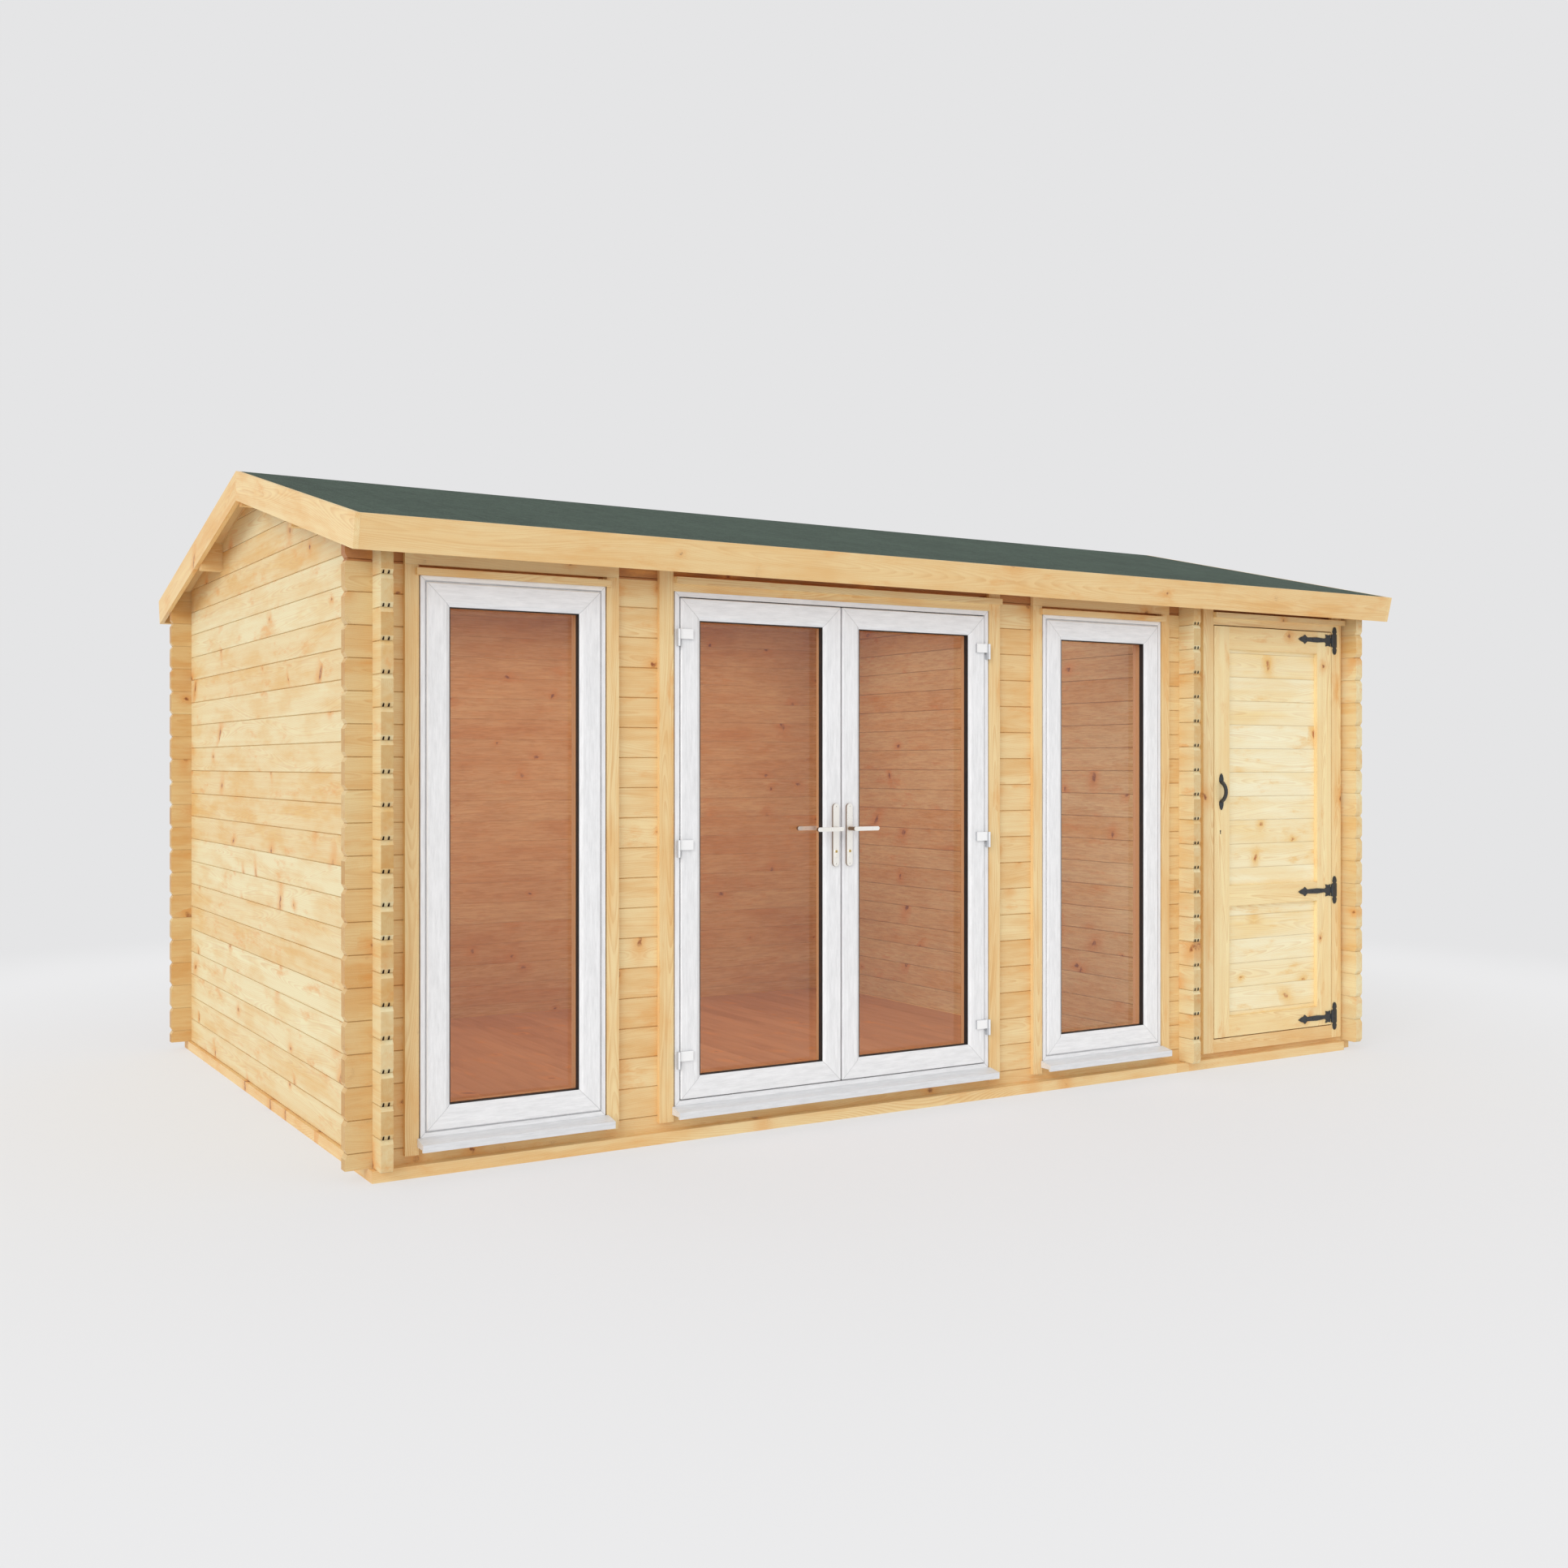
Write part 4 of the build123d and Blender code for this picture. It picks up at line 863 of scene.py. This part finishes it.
class CABIN_OT_walls(bpy.types.Operator):
    """Give the log walls, purlins and base their pine"""

    bl_idname = "cabin.walls"
    bl_label = "Log Walls"

    def execute(self, context):
        pitch = context.scene.cabin_timber.log_pitch
        for name, number in numbered(SIDE_WALLS, "side"):
            lay_courses(name, number, ALONG_SIDE, WALL_FOOT, ends=0.0 if name == "right_wall" else 1.0)
        for name, number in numbered(CROSS_WALLS, "cross"):
            lay_courses(name, number, ALONG_FRONT, WALL_FOOT - pitch / 2)
        for name, number in numbered(BEAMS, "beam"):
            lay_boards(name, number)
        # Side walls paled as painted light; cross walls warmed as painted shade
        dress(SIDE_WALLS, pine_finish("Side log pine paled as painted light", "side", figure=0.36, pitch=pitch, rooms=True))
        logs = {"figure": 0.42, "pitch": pitch}
        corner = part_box("right_wall")[1].x
        dress(CROSS_WALLS, pine_finish("Cross log pine warmed as painted shade", "front", knots=0.26, corner=corner, rooms=True, **logs))
        # Logs under the eaves darkened as painted shade of the eaves
        dress(["front_head_logs"], pine_finish("Head log pine in painted eaves shade", "head", **logs))
        dress(BEAMS, pine_finish("Beam pine", "trim"))
        return {"FINISHED"}


class CABIN_OT_joint_slots(bpy.types.Operator):
    """Add the painted shade in the gaps at the ends of the tongue joints that show in each log end"""

    bl_idname = "cabin.joint_slots"
    bl_label = "Joint Slots"

    def execute(self, context):
        pitch = context.scene.cabin_timber.log_pitch
        shade = mottled_finish("Joint shade", JOINT_SHADE, 0.004, 0.5, **{"Specular IOR Level": 0.1})
        mirrored = [(-x, y) for x, y in reversed(SLOT_OUTLINE)]
        for name in SLOTTED_WALLS:
            low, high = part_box(name)
            middle = (low.x + high.x) / 2
            parts = []
            for y, out, outline in ((low.y, FRONT, SLOT_OUTLINE), (high.y, BACK, mirrored)):
                joints = int((under_roof(y) - SLOT_HEADROOM - WALL_FOOT) / pitch)
                for joint in range(1, joints + 1):
                    for offset in SLOT_OFFSETS:
                        lay = facing(Vector((middle + offset, y, WALL_FOOT + joint * pitch)), out)
                        parts.append(plate(outline, SLOT_ROOT, SLOT_LIP, lay))
            add_piece(name + "_joint_slots", parts, "cabin", [shade])
        return {"FINISHED"}


class CABIN_OT_trims(bpy.types.Operator):
    """Give the casings, the store door and the floor their pine"""

    bl_idname = "cabin.trims"
    bl_label = "Trims and Floor"

    planed: length("Planed Rings", "Ring spacing of the trims' finer pine", 0.0042)

    def execute(self, context):
        timber = context.scene.cabin_timber
        boards = "store_leaf_boards"
        for name, number in numbered(TRIMS, "trim") + numbered(["store_leaf_frame"], "stile"):
            lay_boards(name, number)
        lay_courses(boards, FIRST_BOARD["door"], ALONG_FRONT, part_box(boards)[0].z)
        for name, number in numbered(FLOORS, "floor"):
            lay_courses(name, number, FRONT_TO_BACK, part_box(name)[0].x)
        # Board ends paled as painted highlight
        dress(TRIMS, pine_finish("Trim pine", "trim", self.planed, knots=0.1, ends=BOARD_END_PAINTED_HIGHLIGHT))
        dress(["store_leaf_frame"], pine_finish("Door frame pine", "stile", self.planed, knots=0.1))
        dress([boards], pine_finish("Door board pine", "door", figure=0.3, pitch=timber.door_pitch))
        floor = pine_finish("Floor pine", "floor", knots=0.15, pitch=timber.floor_pitch, joint=BOARD_JOINT)
        dress(FLOORS, floor)
        return {"FINISHED"}


class CABIN_OT_roof(bpy.types.Operator):
    """Give the roof its boards, edge boards and felt"""

    bl_idname = "cabin.roof"
    bl_label = "Roof"

    def felt_finish(self, roof):
        """Mineral felt: granules in cloudy patches, flecks, and streaks that run down the slope."""
        finish = Finish("Mineral felt")
        place = finish.here()
        rate = 1 / roof.granule
        grains = finish.add("TexVoronoi", {"Vector": place, "Scale": rate}).outputs
        light = finish.split(grains["Color"])[0]
        speckle = finish.noise(place, 0.35 * rate, 2.0, 0.8)
        fleck = finish.noise(place, 0.05 * rate, 4.0, 0.85)
        value = finish.weighted(
            (light, 0.35),
            (finish.noise(place, 3.0, 4.0), 0.5),
            (finish.step(speckle, 0.38, 0.62), 0.5),
            (finish.step(fleck, 0.4, 0.6), 0.25),
            (finish.grain(place, (150.0, 2.5, 2.5), 3.0, 0.7), 1.1),
            (1.0, -0.35),
        )
        finish.coat(
            {
                "Base Color": finish.brighten(roof.felt, value),
                "Roughness": finish.weighted((light, 0.15), (1.0, 0.78)),
                "Specular IOR Level": 0.25,
            },
            grains["Distance"],
            0.0006,
        )
        return finish.material

    def execute(self, context):
        roof = context.scene.cabin_roof
        width = context.scene.cabin_timber.roof_pitch_width
        for name, number in numbered(ROOF_DECKS, "deck"):
            lay_courses(name, number, FRONT_TO_BACK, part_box(name)[0].x, roof.slope)
        for name, number in numbered(EDGE_BOARDS, "edge"):
            lay_boards(name, number, roof.slope if name in VERGES else 0.0)
        # Roof boards take the cross walls' tones, warmed as painted shade
        dress(ROOF_DECKS, pine_finish("Roof board pine", "front", pitch=width, joint=BOARD_JOINT))
        # Edge board ends paled as painted highlight
        dress(EDGE_BOARDS, pine_finish("Edge board pine", "trim", 0.0055, 0.42, 0.14, ends=BOARD_END_PAINTED_HIGHLIGHT))
        dress(ROOF_FELTS, self.felt_finish(roof))
        return {"FINISHED"}


class CABIN_OT_glazing(bpy.types.Operator):
    """Give the windows and glazed doors their plastic, glass and seals"""

    bl_idname = "cabin.glazing"
    bl_label = "Windows and Glazed Doors"

    mitre_line: length("Mitre Line", "Half width of the line at a mitred corner", 0.002)

    def glass_finish(self):
        """Clear glass: only its mirror sheen covers what is behind, as much from behind as from in front."""
        finish = Finish("Clear glass")
        behind = finish.add("NewGeometry").outputs["Backfacing"]
        bend = finish.calc("MULTIPLY_ADD", behind, 1 / GLASS_IOR - GLASS_IOR, GLASS_IOR)
        ripple = finish.noise(finish.here(), 1.2, 1.0)
        finish.coat(
            {
                "Base Color": GLASS_MIRROR,
                "Metallic": 1.0,
                "Roughness": finish.weighted((ripple, 0.01), (1.0, 0.004)),
                "Alpha": finish.add("Fresnel", {"IOR": bend}).outputs[0],
            }
        )
        return finish.material

    def execute(self, context):
        glazing = context.scene.cabin_glazing
        wood = context.scene.cabin_timber.floor_pale
        for name, number in numbered(WINDOW_BARS + CILLS, "plastic"):
            lay_boards(name, number)
            lay_mitres(name)
        mark_painted_side_shade(FLAG_HINGES)
        dress(WINDOW_BARS, foiled_finish("Foiled plastic", glazing.plastic, wood, self.mitre_line))
        # Cills darkened as painted shade
        dress(CILLS, foiled_finish("Cill plastic darkened as painted shade", glazing.cill_painted_shade, wood, self.mitre_line))
        # Flag hinges with painted shade on their sides
        hinge = mottled_finish("Hinge plastic", glazing.hinge, 0.002, 0.06, 0.35, painted_side_shade=glazing.hinge_painted_side_shade)
        dress(FLAG_HINGES, hinge)
        dress(GLASS, self.glass_finish())
        dress(SEALS, mottled_finish("Black seal", glazing.seal, 0.003, 0.3, 0.55, 0.0001))
        return {"FINISHED"}


class CABIN_OT_handles(bpy.types.Operator):
    """Finish the door handles and add their key cylinders and screws"""

    bl_idname = "cabin.handles"
    bl_label = "Door Handles"

    cylinder_drop: length("Cylinder Drop", "Key cylinder below the lever's axis", 0.092)
    screw_inset: length("Screw Inset", "Screws from the ends of the handle plate", 0.011)

    def key_cylinder(self, lay):
        """Key cylinder: its tongue and ring in the handle's metal, its plug in brass and its key slot in painted
        shade.
        """
        return [
            plate(rectangle(0.010, 0.0185, -0.01525), -0.001, 0.0026, lay, 0, 0.0004),
            turned(CYLINDER_RING, lay),
            turned(CYLINDER_PLUG, lay, 1),
            plate(rectangle(0.0012, 0.0076), 0.002, 0.0034, lay, 2),
        ]

    def cross_screw(self, lay):
        """Screw with a cross slot in painted shade."""
        slots = (rectangle(0.0044, 0.0008), rectangle(0.0008, 0.0044))
        return [turned(PLATE_SCREW, lay)] + [plate(slot, 0.0, 0.00125, lay, 2) for slot in slots]

    def execute(self, context):
        glazing = context.scene.cabin_glazing
        # Handles with painted shade and painted dark reflection on their rounded edges
        metal = {"relief": 0.00002, "painted_side_shade": glazing.painted_side_shade, "brushed": 0.06, "Metallic": 0.6}
        finishes = [
            mottled_finish("Satin metal", glazing.metal, 0.0008, 0.12, 0.3, **metal),
            mottled_finish("Brass", glazing.brass, 0.0008, 0.12, 0.27, **metal),
            mottled_finish("Key slot shade", KEY_SHADE, 0.002),
        ]
        mark_painted_side_shade(HANDLES)
        dress(HANDLES, finishes[0])
        for side in ("left", "right"):
            low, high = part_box(side + "_leaf_handle_plates")
            middle = (low.x + high.x) / 2
            axis = sum(corner.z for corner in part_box(side + "_lever")) / 2
            parts = []
            for y, out in ((low.y, FRONT), (high.y, BACK)):
                parts += self.key_cylinder(facing(Vector((middle, y, axis - self.cylinder_drop)), out))
                for z in (high.z - self.screw_inset, low.z + self.screw_inset):
                    parts += self.cross_screw(facing(Vector((middle, y, z)), out))
            add_piece(side + "_leaf_key_cylinders", parts, side + "_leaf", finishes)
        return {"FINISHED"}


class CABIN_OT_store_irons(bpy.types.Operator):
    """Finish the store door's irons and add their screws and the keyhole"""

    bl_idname = "cabin.store_irons"
    bl_label = "Store Door Irons"

    plate_half: length("Hinge Plate", "Half height of a tee hinge's wide end", 0.030)
    middle_strap: length("Middle Strap", "Middle of the second strap above the foot of the door", 0.6765)
    thickness: length("Thickness", "Thickness of the straps and plates", 0.0043)
    root_inset: length("Strap Root", "Strap's root from the end of its knuckle", 0.006)
    pull_inset: length("Pull Screws", "Screws of the pull from its ends", 0.016)
    key_height: length("Keyhole", "Height of the keyhole above the ground", 1.121)
    key_aside: length("Keyhole Offset", "Keyhole to the left of the pull's middle", 0.004)

    def slotted_screw(self, place):
        """Domed screw with one slot in painted shade, on the front."""
        lay = facing(place, FRONT)
        return [turned(IRON_SCREW, lay), plate(rectangle(0.0056, 0.0008), 0.0, 0.0027, lay, 1)]

    def keyhole(self):
        """Outline of the keyhole: a round eye over a foot that widens downwards."""
        eye = 0.0042
        turns = (math.radians(degrees) for degrees in range(-40, 221, 20))
        arc = [(eye * math.cos(turn), 0.0030 + eye * math.sin(turn)) for turn in turns]
        return [(-0.0030, -0.0115), (0.0030, -0.0115), (0.0024, -0.002), *arc, (-0.0024, -0.002)]

    def execute(self, context):
        iron = mottled_finish("Black iron", context.scene.cabin_glazing.iron, 0.0016, 0.5, 0.5, 0.0004)
        finishes = [iron, bpy.data.materials["Key slot shade"]]
        dress(IRONS, iron)
        strap_low, strap_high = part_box("store_leaf_straps")
        plate_low, plate_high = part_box("store_hinge_plates")
        pull_low, pull_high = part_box("store_leaf_pull")
        leaf_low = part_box("store_leaf_frame")[0]
        face = leaf_low.y - self.thickness
        heights = (strap_low.z + self.plate_half, leaf_low.z + self.middle_strap, strap_high.z - self.plate_half)
        pull_middle = (pull_low.x + pull_high.x) / 2

        parts = []
        for z in heights:
            for inset, rise in STRAP_SCREWS:
                parts += self.slotted_screw(Vector((strap_high.x - self.root_inset - inset, face, z + rise)))
        for z in (pull_low.z + self.pull_inset, pull_high.z - self.pull_inset):
            parts.append(turned(IRON_SCREW, facing(Vector((pull_middle, face, z)), FRONT)))
        key_place = Vector((pull_middle - self.key_aside, leaf_low.y, self.key_height))
        # The keyhole is a plate of painted shade
        parts.append(plate(self.keyhole(), -0.001, 0.0004, facing(key_place, FRONT), 1))
        add_piece("store_leaf_screws", parts, "store_leaf", finishes)

        plate_middle = (plate_low.x + plate_high.x) / 2 + self.root_inset
        parts = []
        for z in heights:
            for rise in HINGE_PLATE_SCREWS:
                parts += self.slotted_screw(Vector((plate_middle, face, z + rise)))
        add_piece("store_hinge_screws", parts, "cabin", finishes)
        return {"FINISHED"}


class CABIN_OT_stage(bpy.types.Operator):
    """Set up the floor, the backdrop, the lamps and the camera"""

    bl_idname = "cabin.stage"
    bl_label = "Studio"

    def add_backdrop(self, settings):
        """Plain light from all round, seen and mirrored as the backdrop's tone."""
        world = bpy.data.worlds.new("Studio")
        world.use_nodes = True
        work = Tree(world.node_tree)
        path = work.add("LightPath").outputs
        seen = work.calc("MAXIMUM", path["Is Camera Ray"], path["Is Glossy Ray"])
        seen = work.calc("MAXIMUM", seen, path["Is Transmission Ray"])
        light = work.mix(seen, [settings.ambient] * 3, settings.backdrop)
        work.feed(work.nodes["Background"], {"Color": light})
        bpy.context.scene.world = world

    def add_floor(self, settings):
        """Round floor that takes soft shadows near the cabin and fades into the backdrop."""
        finish = Finish("Studio floor")
        x, y, _ = finish.split(finish.here())
        distance = finish.hypotenuse(x, y)
        finish.coat({"Base Color": settings.floor_paint, "Roughness": 0.9, "Specular IOR Level": 0.1})
        fade = finish.step(distance, settings.floor_middle, settings.floor_far)
        tone = finish.mix(fade, settings.floor, settings.backdrop)
        glow = finish.add("Emission", {"Color": tone, "Strength": 1.0}).outputs[0]
        share = finish.step(distance, settings.floor_near, settings.floor_far, 0.6, 1.0)
        surface = finish.add("MixShader", {0: share, 1: finish.shader.outputs[0], 2: glow}).outputs[0]
        finish.feed(finish.nodes["Material Output"], {"Surface": surface})
        points, faces, _ = plate(circle(settings.floor_radius, 96), -0.02, 0.0, Matrix.Identity(4))
        floor = new_object("studio_floor", new_mesh("studio_floor", points, faces, [finish.material]))

    def add_lamp(self, name, kind, **values):
        """New lamp in the scene."""
        light = bpy.data.lights.new(name, kind)
        for key, value in values.items():
            setattr(light, key, value)
        return new_object(name, light)

    def add_lamps(self, settings):
        """Soft sun, and a warm lamp over each floor that shows only by its light."""
        key = self.add_lamp("Key light", "SUN", energy=settings.key_power, angle=settings.key_spread)
        key.rotation_euler = Vector(settings.key_from).to_track_quat("Z", "Y").to_euler()
        widest = max(ROOM_LAMPS.values())
        for room, width in ROOM_LAMPS.items():
            low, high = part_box(room)
            lamp = self.add_lamp(
                room + "_light", "AREA", shape="RECTANGLE", size=width, size_y=settings.room_lamp_depth,
                energy=settings.room_power * width / widest, color=settings.room_tint,
            )
            lamp.location = ((low.x + high.x) / 2, (low.y + high.y) / 2, settings.room_lamp_height)
            lamp.visible_camera = False
            lamp.visible_glossy = False
            lamp.visible_transmission = False

    def add_camera(self, settings):
        """Level camera that sees the cabin as the photograph does."""
        camera = new_object("Camera", bpy.data.cameras.new("Camera"))
        camera.data.lens = settings.lens
        camera.data.sensor_width = settings.sensor
        camera.data.shift_y = settings.camera_shift
        camera.data.clip_end = 500.0
        camera.location = settings.camera_place
        camera.rotation_euler = (math.radians(90), 0.0, -settings.camera_turn)
        bpy.context.scene.camera = camera

    def execute(self, context):
        settings = context.scene.cabin_stage
        context.scene.view_settings.view_transform = "Standard"
        self.add_backdrop(settings)
        self.add_floor(settings)
        self.add_lamps(settings)
        self.add_camera(settings)
        return {"FINISHED"}


PIECE_OPERATORS = (
    CABIN_OT_walls,
    CABIN_OT_joint_slots,
    CABIN_OT_trims,
    CABIN_OT_roof,
    CABIN_OT_glazing,
    CABIN_OT_handles,
    CABIN_OT_store_irons,
    CABIN_OT_stage,
)


class CABIN_PT_panel(bpy.types.Panel):
    """Steps that finish the log cabin"""

    bl_idname = "CABIN_PT_panel"
    bl_label = "Log Cabin"
    bl_space_type = "VIEW_3D"
    bl_region_type = "UI"
    bl_category = "Log Cabin"

    def draw(self, context):
        for operator in PIECE_OPERATORS:
            self.layout.operator(operator.bl_idname)


SETTINGS = {
    "cabin_timber": TimberSettings,
    "cabin_roof": RoofSettings,
    "cabin_glazing": GlazingSettings,
    "cabin_stage": StageSettings,
}
CLASSES = (*SETTINGS.values(), *PIECE_OPERATORS, CABIN_PT_panel)


def register():
    for item in CLASSES:
        bpy.utils.register_class(item)
    for name, group in SETTINGS.items():
        setattr(bpy.types.Scene, name, PointerProperty(type=group))


def unregister():
    for name in SETTINGS:
        delattr(bpy.types.Scene, name)
    for item in reversed(CLASSES):
        bpy.utils.unregister_class(item)


def main():
    """Finish the cabin and set up the studio."""
    register()
    bpy.ops.cabin.walls()
    bpy.ops.cabin.joint_slots()
    bpy.ops.cabin.trims()
    bpy.ops.cabin.roof()
    bpy.ops.cabin.glazing()
    bpy.ops.cabin.handles()
    bpy.ops.cabin.store_irons()
    bpy.ops.cabin.stage()


if __name__ == "__main__":
    main()
